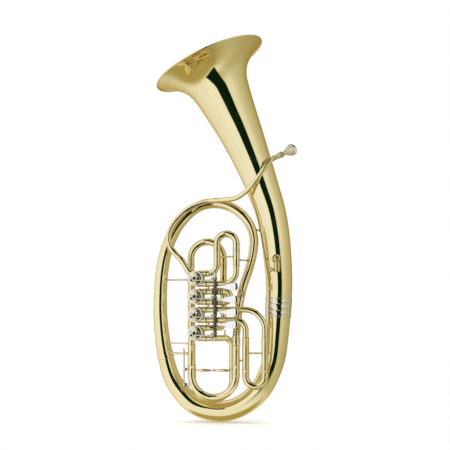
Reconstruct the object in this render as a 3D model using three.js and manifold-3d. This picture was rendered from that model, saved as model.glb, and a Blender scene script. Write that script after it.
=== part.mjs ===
// A wagner tuba in B flat with four rotary valves, in millimetres, +Z up.
// The player's levers face -Y, the bell stands up to the left, and the origin
// is the underside of the bottom bow, at its lowest point.
import * as THREE from 'three';
import { mergeVertices } from 'three/addons/utils/BufferGeometryUtils.js';
import Module from 'manifold-3d';

const wasm = await Module();
wasm.setup();

// Facets and tolerances of the drawing
const rodSides = 8;
const drillSides = 6;
const hubSides = 10;
const knobSides = 12;
const bellStops = 13;
const bowStops = 10;
const branchStops = 17;
const leadpipeStops = 18;
const rimCrowding = 1.8;
const arcStep = Math.PI / 6;
const searchSteps = 200;
const curveDivisions = 1500;
const archSteps = 60;

// General fits
const samePlace = 0.0001;
const seatGap = 0.3;
const overrun = 1.5;
const footThickness = 1.2;

// Body: bell, bottom bow and main branch, one conical tube from the rim to the slide
const bodyHeight = 747.6;
const bellRimRadius = 121.5;
const bellEndRadius = 26;
const bowEndRadius = 16;
const branchEndRadius = 7.4;
const bodyWall = 0.9;
const rimBeadRadius = 1.9;
const bellSides = 20;
const ferruleWall = 1.3;
const bellFerruleLength = 40;
const bowFerruleLength = 18;
const branchFerruleLength = 14;

// Valves: four rotary valves in one column
const valveX = -47.5;
const valvePlaneY = -40;
const valveTopZ = 291.5;
const valvePitch = 36.7;
const valveCount = 4;
const casingRadius = 15.5;
const casingHalf = 15;
const casingSides = 14;
const rotorRadius = 12.2;
const rotorBack = 10.5;
const rotorFit = 0.4;
const frontWall = 3;
const frontDiscRadius = 13.5;
const frontDiscThickness = 2.5;
const stopArmGap = 1.2;
const spindleRadius = 3;
const spindleFit = 0.35;
const pivotDepth = 5.7;
const channelRadius = 5;
const channelInset = 3.2;
const capFlange = 2.7;
const capDome = 2;
const capDomeRadius = 10;
const capSides = 10;

// Valve tubing and slides
const portOffset = 10.4;
const lineOffset = 9;
const portReach = 22.3;
const portInset = 3;
const tubeRadius = 6.1;
const tubeWall = 0.6;
const tubeSides = 8;
const slideFit = 0.3;
const sleeveWall = 0.6;
const socketLip = 2;
const mainTubeRadius = 6.8;

// Slide of valve 1, pulled up
const slideOneWidth = 39.6;
const slideOneLeftX = -4.6;
const slideOneInnerBend = 17.7;
const slideOneOuterBend = 25;
const slideOneSleeveTop = 349.3;
const slideOneSleeveLength = 30;
const slideOneFerrule = 13.5;
const slideOneBraceZ = 336;

// Slide of valve 2, pulled right
const slideTwoSleeveEnd = 4;
const slideTwoSleeveLength = 17;
const slideTwoFerrule = 7;

// Slide of valve 3, pulled down
const slideThreeStandoff = 19.8;
const slideThreeWidth = 38.7;
const slideThreeOuterBend = 41;
const slideThreeInnerBend = 20.8;
const slideThreeSleeveEnd = 109.2;
const slideThreeSleeveLength = 60.6;
const slideThreeFerrule = 15;
const slideThreeBraceZ = 141;
const slideThreeStayZ = 126.2;

// Loop of valve 4, behind the others, with a slide pulled up
const loopY = -13;
const loopRightX = 4.7;
const loopWidth = 67.8;
const loopHeadroom = 64.4;
const loopSleeveLength = 34;
const loopFerrule = 12.5;
const riserY = -25;
const riserInset = 10.1;
const riserLeftOffset = 0.3;
const riserBottomZ = 45.9;
const loopBendRadius = 13;
const riserBendRadius = 16;

// Main tuning slide, pulled down
const mainSlideWidth = 90.7;
const mainSlideTopZ = 156;
const mainSlideSleeveEnd = 117;
const mainSlideSleeveLength = 38;
const mainSlideFerrule = 20;
const mainSlideBraceZ = 106.2;
const balusterRadius = 3;
const lowerBraceRadius = 2.4;
const middleBraceZ = 160;
const lowerBraceZ = 139.5;
const upperBraceDrop = 30.9;
const bellBraceZ = 392.5;
const slideBraceZ = 329.5;
const slideInsert = 28;
const shortInsert = 13;

// Water key on the main slide bow
const keyPivotZ = 108;
const keyTopZ = 151;
const keyCorkZ = 77;
const keyStandoff = 8;
const keyWidth = 5;
const keyThickness = 2.4;
const keyBoreRadius = 1.5;
const keyPinRadius = 1.2;
const keyCorkRadius = 4;
const nippleRadius = 3.2;
const nippleBore = 1.6;
const nippleLength = 2.6;

// Levers, axle and linkage
const axleX = -6.5;
const axleY = -52.5;
const axleRadius = 1.8;
const axleEndWall = 1.4;
const hubFit = 0.3;
const hubRadius = 3;
const collarRadius = 4.2;
const collarHeight = 2;
const leverStackTopZ = 292.5;
const leverStackBottomZ = 174.5;
const leverSplitZs = [262.4, 236.4, 206.4];
const paddleZs = [274.2, 248.5, 223.2, 198.6];
const paddleLength = 51;
const paddleTipHeight = 14.5;
const paddleRootHeight = 3.2;
const paddleThickness = 1.8;
const leverArm = 22;
const armWidth = 4;
const armThickness = 3;
const armLift = 3.4;
const crankRadius = 6.2;
const crankPlateRadius = 4.8;
const crankPlateThickness = 4;
const crankHubHeight = 7;
const pinRadius = 1.2;
const pinFit = 0.3;
const openPinFit = 0.9;
const eyeRadius = 3.2;
const eyeThickness = 3;
const linkRadius = 1.1;
const bracketRadius = 4.3;
const bracketWidth = 6;
const bracketHeight = 7.4;

// Lever return springs: 0.76 mm wire round each lever's hub tube
const springWireRadius = 0.38;
const springPitch = 1.3;
const springCurls = 5;
const springClearance = 0.35;
const springStepsPerCurl = 8;
const springWireSides = 5;
const springStartZs = [265, 238.9, 225.4, 184];

// Leadpipe, receiver and mouthpiece
const leadpipeStartRadius = 6;
const leadpipeEndRadius = 4.5;
const leadpipeWall = 0.6;
const receiverRadius = 5.4;
const receiverCollarRadius = 6.3;
const receiverLength = 42;
const receiverCollar = 13;
const shankVisible = 13;
const shankInserted = 22;
const shankRadius = 3.9;
const shankTipRadius = 3.4;
const cupLength = 36;
const cupRimRadius = 12.4;
const cupBoreRadius = 8.8;
const throatRadius = 2.1;

// Holder for a music lyre on the bell, with its thumb screw
const holderZ = 331.5;
const holderFootRadius = 10;
const holderFootThickness = 3;
const holderPostLength = 17;
const holderBlock = 12;
const lyreSocket = 5.2;
const screwKnobRadius = 5.2;
const screwKnobLength = 8;
const screwDrop = 5.5;
const screwShankRadius = 2;

// Centreline of the body as shares of its height, from the rim down the bell,
// round the bow and up to the top arc; the depth column is a share of the valve plane's
const bodyRouteShares = [
  [-0.0371, 0, 1], [0.0036, 0, 0.909], [0.0543, 0, 0.7968], [0.0938, 0, 0.6989], [0.1154, 0, 0.6383],
  [0.1355, 0, 0.577], [0.1481, 0, 0.5103], [0.155, 0, 0.4436], [0.1586, 0, 0.3767], [0.1562, 0, 0.31],
  [0.152, 0, 0.2456], [0.1435, 0, 0.172], [0.1265, 0, 0.1235], [0.1037, 0, 0.085], [0.0602, 0, 0.0475],
  [0, 0, 0.0284], [-0.073, 0, 0.0432], [-0.1145, 0, 0.0806], [-0.1402, 0, 0.119], [-0.1631, 0, 0.2012],
  [-0.1731, 0, 0.2877], [-0.1734, 0, 0.3545], [-0.1689, 0, 0.4157], [-0.1575, 0, 0.471],
  [-0.1345, 0, 0.525], [-0.1, 0, 0.569], [-0.065, 0, 0.594], [-0.025, 0, 0.6022], [0.015, 0, 0.595],
  [0.05, 0, 0.574], [0.0765, 0, 0.543], [0.0885, 0, 0.506], [0.0875, 0.03, 0.469], [0.0775, 0.12, 0.422],
  [0.063, 0.28, 0.3765], [0.0535, 0.43, 0.333], [0.049, 0.56, 0.293], [0.0468, 0.73, 0.256],
];
// The stop at the top of the arch, past which the branch leans over to meet the main slide
const archStop = 27;
const footShares = [0.04575, 0.20947];

// Radius along the bell, from the rim to its end: share of its length, share of the flare
const flareShares = [
  [0, 1], [0.011, 0.9], [0.026, 0.754], [0.043, 0.618], [0.063, 0.503], [0.089, 0.414], [0.115, 0.361],
  [0.154, 0.319], [0.193, 0.285], [0.26, 0.23], [0.34, 0.178], [0.45, 0.117], [0.55, 0.079],
  [0.66, 0.051], [0.78, 0.033], [0.9, 0.012], [1, 0],
];
// Radius along the bow, from the bell ferrule to its small end
const bowTaperShares = [[0, 1], [0.09, 0.91], [0.2, 0.74], [0.3, 0.6], [0.6, 0.5], [0.78, 0.28], [1, 0]];
// Radius along the main branch, from the bow to the main slide
const branchTaperShares = [
  [0, 1], [0.11, 0.81], [0.24, 0.67], [0.35, 0.57], [0.53, 0.33], [0.8, 0.16], [1, 0],
];
// Leadpipe between valve 1 and the receiver: shares of the body's height and the valve plane's depth
const leadpipeShares = [
  [-0.106, 0.92, 0.4425], [-0.1225, 0.84, 0.4585], [-0.1368, 0.78, 0.476], [-0.1432, 0.74, 0.494],
  [-0.143, 0.7, 0.513], [-0.1362, 0.62, 0.533], [-0.1215, 0.52, 0.5565], [-0.0955, 0.47, 0.582],
  [-0.0615, 0.45, 0.5985], [-0.0275, 0.46, 0.6065], [0.008, 0.52, 0.608], [0.0415, 0.68, 0.611],
  [0.0625, 0.86, 0.6205], [0.0815, 1.03, 0.635], [0.0975, 1.17, 0.651], [0.113, 1.24, 0.67],
  [0.127, 1.24, 0.6905], [0.1385, 1.14, 0.7055],
];
// The leadpipe's end in the receiver, as shares in the same way, and the way the mouthpiece points
const receiverStartShares = [0.14634, 0.95, 0.7163];
const mouthHeadingShares = [0.3707, 0.8664, 0.3345];
// Mouthpiece outline from the rim's face to the shank's shoulder: share of the cup's length, of the rim
const cupOutlineShares = [
  [0, 0.93], [0.03, 1], [0.12, 1], [0.17, 0.86], [0.35, 0.79], [0.55, 0.62], [0.75, 0.46],
];
// Lever paddle outline: share of its length, share of the tip's height above and below its middle
const paddleShares = [
  [0.62, 0.36], [0.86, 0.5], [0.93, 0.45], [0.98, 0.28], [1, 0], [0.98, -0.28], [0.93, -0.45],
  [0.86, -0.5], [0.62, -0.4],
];

const bore = tubeRadius - tubeWall;
// A tube's reach sideways, where a section with a corner there reaches its full radius
const flatShare = tubeSides % 4 === 0 ? 1 : Math.cos(Math.PI / tubeSides);
const sleeveBore = tubeRadius + slideFit;
const sleeveRadius = sleeveBore + sleeveWall;
const mainSleeveBore = mainTubeRadius + slideFit;
const mainSleeveRadius = mainSleeveBore + sleeveWall;
const lineX = valveX - lineOffset;
const mainSlideRightX = lineX + mainSlideWidth;
const slideThreeInnerX = mainSlideRightX + slideThreeStandoff;
const crankSide = crankRadius * Math.SQRT1_2;
const leverSwing = 2 * Math.asin(crankSide / leverArm);
const linkY = axleY - leverArm * Math.cos(leverSwing / 2);
const portX = valveX + portReach;
const valveZ = (index) => valveTopZ - index * valvePitch;
const linkZ = (index) => valveZ(index) - crankSide;

const up = new THREE.Vector3(0, 0, 1);
const front = new THREE.Vector3(0, -1, 0);
const right = new THREE.Vector3(1, 0, 0);
const at = (x, y, z) => new THREE.Vector3(x, y, z);

// Finishes
const finishes = {
  lacqueredBrass: { color: 0xd8b45a, roughness: 0.16, metalness: 1 },
  nickelSilver: { color: 0xd8d2b8, roughness: 0.2, metalness: 1 },
  silverPlate: { color: 0xe2e2e0, roughness: 0.15, metalness: 1 },
  springSteel: { color: 0x70706a, roughness: 0.35, metalness: 1 },
};

const instrument = new THREE.Group();

function addNode(name, geometry, finish) {
  const mesh = new THREE.Mesh(geometry, new THREE.MeshStandardMaterial({ ...finishes[finish] }));
  mesh.name = name;
  instrument.add(mesh);
}

// Straight-line blend through a table of [place, value] pairs
function readTable(table, place) {
  for (let i = 1; i < table.length; i += 1) {
    if (place <= table[i][0]) {
      const [from, low] = table[i - 1];
      const [to, high] = table[i];
      return low + ((high - low) * (place - from)) / (to - from);
    }
  }
  return table[table.length - 1][1];
}

// A route: points with running distances and frames carried along without twist
function makeRoute(points) {
  const distances = [0];
  const headings = [];
  for (let i = 1; i < points.length; i += 1) {
    headings.push(points[i].clone().sub(points[i - 1]).normalize());
    distances.push(distances[i - 1] + points[i].distanceTo(points[i - 1]));
  }
  const reference = Math.abs(headings[0].y) > 0.9 ? right : at(0, 1, 0);
  let normal = reference.clone().projectOnPlane(headings[0]).normalize();
  const normals = headings.map((heading) => {
    normal = normal.clone().projectOnPlane(heading).normalize();
    return normal;
  });
  return { points, distances, headings, normals, length: distances[distances.length - 1] };
}

function frameAt(route, distance) {
  const { points, distances, headings, normals } = route;
  const exact = distances.findIndex((value) => Math.abs(value - distance) < samePlace);
  let heading;
  let centre;
  let index;
  if (exact > 0 && exact < points.length - 1) {
    index = exact;
    heading = headings[exact - 1].clone().add(headings[exact]).normalize();
    centre = points[exact].clone();
  } else {
    index = Math.max(0, distances.findIndex((value) => value > distance + samePlace) - 1);
    if (distance >= route.length - samePlace) {
      index = headings.length - 1;
    }
    heading = headings[index];
    centre = points[index].clone().addScaledVector(heading, distance - distances[index]);
  }
  const normal = normals[Math.min(index, normals.length - 1)].clone().projectOnPlane(heading).normalize();
  const side = heading.clone().cross(normal);
  return { centre, normal, side };
}

// Rings of one wall: profile is a list of [distance, radius], a repeated distance is a step
function wallRings(route, profile, sides) {
  const rings = [];
  const placeRing = (distance, radius) => {
    const { centre, normal, side } = frameAt(route, distance);
    const ring = [];
    for (let k = 0; k < sides; k += 1) {
      const angle = (2 * Math.PI * k) / sides;
      const point = centre.clone().addScaledVector(normal, radius * Math.cos(angle));
      ring.push(point.addScaledVector(side, radius * Math.sin(angle)));
    }
    rings.push(ring);
  };
  const stops = [...profile];
  for (const distance of route.distances) {
    if (!profile.some(([stop]) => Math.abs(stop - distance) < samePlace)) {
      stops.push([distance, readTable(profile, distance)]);
    }
  }
  stops.sort((a, b) => a[0] - b[0]);
  stops.forEach(([distance, radius]) => placeRing(distance, radius));
  return rings;
}

// A pipe along a route; without an inner profile it is solid
function pipe(route, outerProfile, innerProfile, sides = tubeSides) {
  const vertices = [];
  const triangles = [];
  const addRing = (ring) => {
    const start = vertices.length / 3;
    ring.forEach((point) => vertices.push(point.x, point.y, point.z));
    return start;
  };
  const bridge = (a, b) => {
    for (let k = 0; k < sides; k += 1) {
      const next = (k + 1) % sides;
      triangles.push(a + k, a + next, b + next, a + k, b + next, b + k);
    }
  };
  const outer = wallRings(route, outerProfile, sides).map(addRing);
  for (let i = 1; i < outer.length; i += 1) {
    bridge(outer[i - 1], outer[i]);
  }
  if (innerProfile) {
    const inner = wallRings(route, innerProfile, sides).map(addRing);
    for (let i = 1; i < inner.length; i += 1) {
      bridge(inner[i], inner[i - 1]);
    }
    bridge(inner[0], outer[0]);
    bridge(outer[outer.length - 1], inner[inner.length - 1]);
  } else {
    const closeEnd = (start, flip) => {
      for (let k = 1; k < sides - 1; k += 1) {
        triangles.push(...(flip ? [start, start + k + 1, start + k] : [start, start + k, start + k + 1]));
      }
    };
    closeEnd(outer[0], true);
    closeEnd(outer[outer.length - 1], false);
  }
  const geometry = new THREE.BufferGeometry();
  geometry.setAttribute('position', new THREE.Float32BufferAttribute(vertices, 3));
  geometry.setIndex(triangles);
  return geometry;
}

// A route with straight runs and an arc of its own radius at each corner: [point, radius]
function bentRoute(corners) {
  const points = [corners[0][0]];
  for (let i = 1; i < corners.length - 1; i += 1) {
    const [corner, radius] = corners[i];
    const into = corner.clone().sub(corners[i - 1][0]).normalize();
    const away = corners[i + 1][0].clone().sub(corner).normalize();
    const turn = into.angleTo(away);
    const setback = radius * Math.tan(turn / 2);
    const begin = corner.clone().addScaledVector(into, -setback);
    const inward = away.clone().projectOnPlane(into).normalize();
    const centre = begin.clone().addScaledVector(inward, radius);
    const steps = Math.max(1, Math.round(turn / arcStep));
    for (let k = 0; k <= steps; k += 1) {
      const angle = (turn * k) / steps;
      const point = centre.clone().addScaledVector(inward, -radius * Math.cos(angle));
      point.addScaledVector(into, radius * Math.sin(angle));
      if (point.distanceTo(points[points.length - 1]) > seatGap) {
        points.push(point);
      }
    }
  }
  points.push(corners[corners.length - 1][0]);
  return makeRoute(points);
}

const straight = (from, to) => makeRoute([from, to]);
const even = (route, radius) => [[0, radius], [route.length, radius]];

// A turned piece: outline of [radius, height], its axis from the origin point along a direction
function turned(outline, sides, origin, direction) {
  const onAxis = outline[0][0] === 0 && outline[outline.length - 1][0] === 0;
  const points = (onAxis ? outline : [...outline, outline[0]]).map(([r, h]) => new THREE.Vector2(r, h));
  const outwards = THREE.ShapeUtils.area(points) < 0 ? points.reverse() : points;
  const geometry = new THREE.LatheGeometry(outwards, sides);
  const turn = new THREE.Quaternion().setFromUnitVectors(at(0, 1, 0), direction);
  geometry.applyQuaternion(turn);
  geometry.translate(origin.x, origin.y, origin.z);
  return geometry;
}

function solid(geometry) {
  const plain = geometry.clone();
  plain.deleteAttribute('normal');
  plain.deleteAttribute('uv');
  const merged = mergeVertices(plain, samePlace);
  const index = merged.getIndex().array;
  const position = merged.getAttribute('position').array;
  const triangles = [];
  for (let i = 0; i < index.length; i += 3) {
    const [a, b, c] = [index[i], index[i + 1], index[i + 2]];
    if (a !== b && b !== c && a !== c) {
      triangles.push(a, b, c);
    }
  }
  const mesh = new wasm.Mesh({
    numProp: 3,
    vertProperties: Float32Array.from(position),
    triVerts: Uint32Array.from(triangles),
  });
  const body = new wasm.Manifold(mesh);
  return body.volume() < 0 ? solid(flipped(merged)) : body;
}

function flipped(geometry) {
  const turnedOver = geometry.clone();
  const index = Array.from(turnedOver.getIndex().array);
  for (let i = 0; i < index.length; i += 3) {
    [index[i], index[i + 1]] = [index[i + 1], index[i]];
  }
  turnedOver.setIndex(index);
  return turnedOver;
}

function geometryOf(body) {
  const { vertProperties, triVerts } = body.getMesh();
  const geometry = new THREE.BufferGeometry();
  geometry.setAttribute('position', new THREE.Float32BufferAttribute(vertProperties, 3));
  geometry.setIndex(Array.from(triVerts));
  return geometry;
}

function joined(...geometries) {
  return geometries.map(solid).reduce((whole, next) => whole.add(next));
}

// A solid rod with a turned foot at both ends
function brace(from, to, radius) {
  const length = from.distanceTo(to);
  const foot = 2 * radius;
  const outline = [
    [0, 0], [foot, 0], [foot, footThickness], [radius, 2 * footThickness],
    [radius, length - 2 * footThickness], [foot, length - footThickness], [foot, length], [0, length],
  ];
  return turned(outline, rodSides, from, to.clone().sub(from).normalize());
}

const rod = (from, to, radius, sides = rodSides) => {
  const route = straight(from, to);
  return pipe(route, even(route, radius), null, sides);
};

// Body line, cut where the ferrules sit
const branchFoot = at(mainSlideRightX, valvePlaneY, mainSlideTopZ + 2 * seatGap);
const [footX, footZ] = footShares.map((share) => share * bodyHeight);
const lean = at(branchFoot.x - footX, 0, branchFoot.z - footZ);
const bodyPoints = bodyRouteShares.map(([x, depth, z], i) => {
  const leaning = Math.max(0, i - archStop) / (bodyRouteShares.length - archStop);
  return at(x * bodyHeight, depth * valvePlaneY, z * bodyHeight).addScaledVector(lean, leaning);
});
bodyPoints.push(branchFoot.clone().addScaledVector(up, branchFerruleLength));
bodyPoints.push(branchFoot);
const bodyCurve = new THREE.CatmullRomCurve3(bodyPoints, false, 'centripetal');
bodyCurve.arcLengthDivisions = curveDivisions;
const bodyLength = bodyCurve.getLength();
const bodyPointAt = (distance) => bodyCurve.getPointAt(Math.min(1, distance / bodyLength));

// Distance along the body where it passes a height, searched between two shares of its length
function distanceAtHeight(z, fromShare, toShare) {
  let low = fromShare * bodyLength;
  let high = toShare * bodyLength;
  const rising = bodyPointAt(high).z > bodyPointAt(low).z;
  for (let i = 0; i < archSteps; i += 1) {
    const middle = (low + high) / 2;
    if (bodyPointAt(middle).z < z === rising) {
      low = middle;
    } else {
      high = middle;
    }
  }
  return low;
}

const bellDownShares = [0.05, 0.32];
const bowUpShares = [0.5, 0.62];
const branchUpShares = [0.5, 0.68];
const branchDownShares = [0.82, 0.98];
const bellEndShare = 0.3122;
const bowEndShare = 0.182;
const bellEnd = distanceAtHeight(bellEndShare * bodyHeight, ...bellDownShares);
const bowEnd = distanceAtHeight(bowEndShare * bodyHeight, ...bowUpShares);

function bodyRadius(distance) {
  if (distance <= bellEnd) {
    return bellEndRadius + (bellRimRadius - bellEndRadius) * readTable(flareShares, distance / bellEnd);
  }
  if (distance <= bowEnd) {
    const share = (distance - bellEnd) / (bowEnd - bellEnd);
    return bowEndRadius + (bellEndRadius - bowEndRadius) * readTable(bowTaperShares, share);
  }
  const share = (distance - bowEnd) / (bodyLength - bowEnd);
  return branchEndRadius + (bowEndRadius - branchEndRadius) * readTable(branchTaperShares, share);
}

// One stretch of the body between two distances, with stops that crowd towards the rim
// and one more at each edge of a ferrule round it
function bodyStretch(from, to, stops, sides, crowd = 1, edges = []) {
  const places = [...edges];
  for (let i = 0; i <= stops; i += 1) {
    const place = from + (to - from) * (i / stops) ** crowd;
    if (edges.every((edge) => Math.abs(edge - place) > bodyWall) || i === 0 || i === stops) {
      places.push(place);
    }
  }
  places.sort((a, b) => a - b);
  const route = makeRoute(places.map(bodyPointAt));
  const outer = places.map((place, i) => [route.distances[i], bodyRadius(place)]);
  const inner = outer.map(([place, radius]) => [place, radius - bodyWall]);
  return { route, outer, inner, geometry: pipe(route, outer, inner, sides) };
}

function bodyFerrule(centre, length, sides, name, finish, fit = seatGap) {
  const places = [centre - length / 2, centre, centre + length / 2];
  const route = makeRoute(places.map(bodyPointAt));
  const widest = Math.max(...places.map(bodyRadius));
  const inner = places.map((place, i) => [route.distances[i], bodyRadius(place) + fit]);
  const outer = even(route, widest + fit + ferruleWall);
  addNode(name, pipe(route, outer, inner, sides), finish);
  return { route, outer };
}

// Underside of the main branch's arch, which the loop of valve 4 stands clear of
const archShares = [0.62, 0.85];
let archZ = 0;
for (let i = 0; i <= archSteps; i += 1) {
  const distance = (archShares[0] + ((archShares[1] - archShares[0]) * i) / archSteps) * bodyLength;
  archZ = Math.max(archZ, bodyPointAt(distance).z - bodyRadius(distance));
}
const loopTopZ = archZ - loopHeadroom;
const loopBowReach = loopFerrule + loopWidth / 2 + tubeWall;
const loopSleeveTop = loopTopZ - loopBowReach - sleeveRadius;

// The bell's edge is rolled over a wire, so its wall is thick there
const bellEdges = [bellEnd - bellFerruleLength / 2];
const bell = bodyStretch(0, bellEnd - seatGap / 2, bellStops, bellSides, rimCrowding, bellEdges);
const bellInner = [[0, bellRimRadius - 2 * rimBeadRadius], ...bell.inner.slice(1)];
addNode('bell', pipe(bell.route, bell.outer, bellInner, bellSides), 'lacqueredBrass');
bodyFerrule(bellEnd, bellFerruleLength, bellSides, 'bell_ferrule', 'nickelSilver');
const bowEdges = [bellEnd + bellFerruleLength / 2, bowEnd - bowFerruleLength / 2];
const bow = bodyStretch(bellEnd + seatGap / 2, bowEnd - seatGap / 2, bowStops, bellSides, 1, bowEdges);
addNode('bottom_bow', bow.geometry, 'lacqueredBrass');
const bowRing = bodyFerrule(bowEnd, bowFerruleLength, bellSides, 'bow_ferrule', 'lacqueredBrass');
const branchEdges = [
  bowEnd + bowFerruleLength / 2,
  bodyLength - seatGap - branchFerruleLength,
  bodyLength - seatGap - branchFerruleLength / 2,
];
const branch = bodyStretch(bowEnd + seatGap / 2, bodyLength, branchStops, bellSides / 2, 1, branchEdges);
addNode('main_branch', branch.geometry, 'lacqueredBrass');

// The body's outside grown by a gap, which cuts the feet of whatever stands on it
const grown = ({ route, outer }, sides) => (
  solid(pipe(route, outer.map(([place, radius]) => [place, radius + seatGap]), null, sides))
);
const bellCore = grown(bell, bellSides);
const branchCore = grown(branch, bellSides / 2);
const bowFerruleCore = grown({ route: bowRing.route, outer: bowRing.outer }, bellSides);

// Valve casings, rotors and caps
const frontFace = casingHalf + frontDiscThickness;
const rotorFront = casingHalf - frontWall - rotorFit;
const casingBore = rotorRadius + rotorFit;
const spindleBore = spindleRadius + spindleFit;
const stopArmBase = frontFace + stopArmGap;
const capBase = -casingHalf - seatGap;
const rotorEnd = -rotorBack - pivotDepth;

function casing(index) {
  const centre = at(valveX, valvePlaneY, valveZ(index));
  const shell = turned([
    [0, -casingHalf], [casingRadius, -casingHalf], [casingRadius, casingHalf], [frontDiscRadius, casingHalf],
    [frontDiscRadius, frontFace], [0, frontFace],
  ], casingSides, centre, front);
  let body = solid(shell);
  const drills = [];
  const addPort = (from, to) => {
    body = body.add(solid(rod(from, to, tubeRadius, tubeSides)));
    const end = to.clone().addScaledVector(to.clone().sub(from).normalize(), overrun);
    drills.push(rod(from, end, bore, drillSides));
  };
  for (const side of [1, -1]) {
    const z = centre.z + side * portOffset;
    addPort(at(centre.x + portInset, valvePlaneY, z), at(portX, valvePlaneY, z));
  }
  const half = valvePitch / 2 - seatGap / 2;
  const lineStart = casingRadius / 3;
  if (index === 0) {
    const slant = at(-Math.SQRT1_2, 0, Math.SQRT1_2);
    const start = centre.clone().addScaledVector(slant, 2 * lineStart - portInset);
    addPort(start, centre.clone().addScaledVector(slant, half));
  } else {
    addPort(at(lineX, valvePlaneY, centre.z + lineStart), at(lineX, valvePlaneY, centre.z + half));
  }
  addPort(at(lineX, valvePlaneY, centre.z - lineStart), at(lineX, valvePlaneY, centre.z - half));
  const chamber = turned([
    [0, -casingHalf - overrun], [casingBore, -casingHalf - overrun], [casingBore, casingHalf - frontWall],
    [spindleBore, casingHalf - frontWall], [spindleBore, frontFace + overrun], [0, frontFace + overrun],
  ], casingSides, centre, front);
  drills.forEach((drill) => {
    body = body.subtract(solid(drill));
  });
  return geometryOf(body.subtract(solid(chamber)));
}

function rotor(index) {
  const centre = at(valveX, valvePlaneY, valveZ(index));
  let body = solid(turned([
    [0, rotorEnd], [spindleRadius, rotorEnd], [spindleRadius, -rotorBack], [rotorRadius, -rotorBack],
    [rotorRadius, rotorFront], [spindleRadius, rotorFront],
    [spindleRadius, stopArmBase + crankHubHeight - seatGap], [0, stopArmBase + crankHubHeight - seatGap],
  ], casingSides, centre, front));
  for (const side of [1, -1]) {
    const mouth = rotorRadius * Math.SQRT1_2;
    const reach = mouth + overrun;
    const ends = [1, 0, -1].map((share) => {
      const depth = reach - channelInset * (1 - share * share);
      return at(centre.x - side * depth, valvePlaneY, centre.z + share * reach);
    });
    const route = makeRoute(ends);
    body = body.subtract(solid(pipe(route, even(route, channelRadius), null, drillSides)));
  }
  return geometryOf(body);
}

function backCap(index) {
  const centre = at(valveX, valvePlaneY, valveZ(index));
  const plateFront = -rotorBack - rotorFit;
  return turned([
    [0, rotorEnd - seatGap], [spindleBore, rotorEnd - seatGap], [spindleBore, plateFront],
    [rotorRadius, plateFront], [rotorRadius, capBase], [casingRadius, capBase],
    [casingRadius, capBase - capFlange], [capDomeRadius, capBase - capFlange - capDome],
    [0, capBase - capFlange - capDome],
  ], capSides, centre, front);
}

// Stop arm: a plate on the spindle with the crank pin, drawn in the plane of the valves
function stopArm(index) {
  const centre = at(valveX, valvePlaneY, valveZ(index));
  const pinAt = at(centre.x - crankSide, valvePlaneY, centre.z - crankSide);
  const hub = turned([
    [spindleBore, stopArmBase], [crankPlateRadius, stopArmBase],
    [crankPlateRadius, stopArmBase + crankHubHeight], [spindleBore, stopArmBase + crankHubHeight],
  ], hubSides, centre, front);
  const lug = turned([
    [0, stopArmBase], [armWidth / 2 + pinRadius, stopArmBase],
    [armWidth / 2 + pinRadius, stopArmBase + crankPlateThickness], [0, stopArmBase + crankPlateThickness],
  ], rodSides, pinAt, front);
  const stopAt = at(centre.x + crankSide, valvePlaneY, centre.z + crankSide);
  const stop = turned([
    [0, stopArmBase], [armWidth / 2, stopArmBase],
    [armWidth / 2, stopArmBase + crankPlateThickness], [0, stopArmBase + crankPlateThickness],
  ], rodSides, stopAt, front);
  const linkHeight = valvePlaneY - linkY;
  const pin = turned([
    [0, stopArmBase + crankPlateThickness / 2], [pinRadius, stopArmBase + crankPlateThickness / 2],
    [pinRadius, linkHeight + eyeThickness / 2 + pinFit], [0, linkHeight + eyeThickness / 2 + pinFit],
  ], rodSides, pinAt, front);
  const spindle = turned([
    [0, stopArmBase - overrun], [spindleBore, stopArmBase - overrun],
    [spindleBore, stopArmBase + crankHubHeight + overrun], [0, stopArmBase + crankHubHeight + overrun],
  ], hubSides, centre, front);
  return geometryOf(joined(hub, lug, stop, pin).subtract(solid(spindle)));
}

// Link from the crank pin to the lever arm's upright pin
function link(index) {
  const z = linkZ(index);
  const leftEye = at(valveX - crankSide, linkY, z);
  const rightEye = at(axleX - crankSide, linkY, z);
  const ring = (hole) => [
    [hole, -eyeThickness / 2], [eyeRadius, -eyeThickness / 2],
    [eyeRadius, eyeThickness / 2], [hole, eyeThickness / 2],
  ];
  const hole = (radius) => [
    [0, -eyeThickness], [radius, -eyeThickness], [radius, eyeThickness], [0, eyeThickness],
  ];
  const pinHole = pinRadius + pinFit;
  const openHole = pinRadius + openPinFit;
  const body = joined(
    turned(ring(pinHole), rodSides, leftEye, front),
    turned(ring(openHole), rodSides, rightEye, up),
    rod(
      leftEye.clone().addScaledVector(right, (pinHole + eyeRadius) / 2),
      rightEye.clone().addScaledVector(right, -(openHole + eyeRadius) / 2),
      linkRadius,
    ),
  );
  return geometryOf(body
    .subtract(solid(turned(hole(pinHole), rodSides, leftEye, front)))
    .subtract(solid(turned(hole(openHole), rodSides, rightEye, up))));
}

// Lever: hub tube on the axle, paddle to the right and an arm to the front
const hubBore = axleRadius + hubFit;
const leverTops = [leverStackTopZ, ...leverSplitZs.map((z) => z - seatGap / 2)];
const leverBottoms = [...leverSplitZs.map((z) => z + seatGap / 2), leverStackBottomZ];

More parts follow.
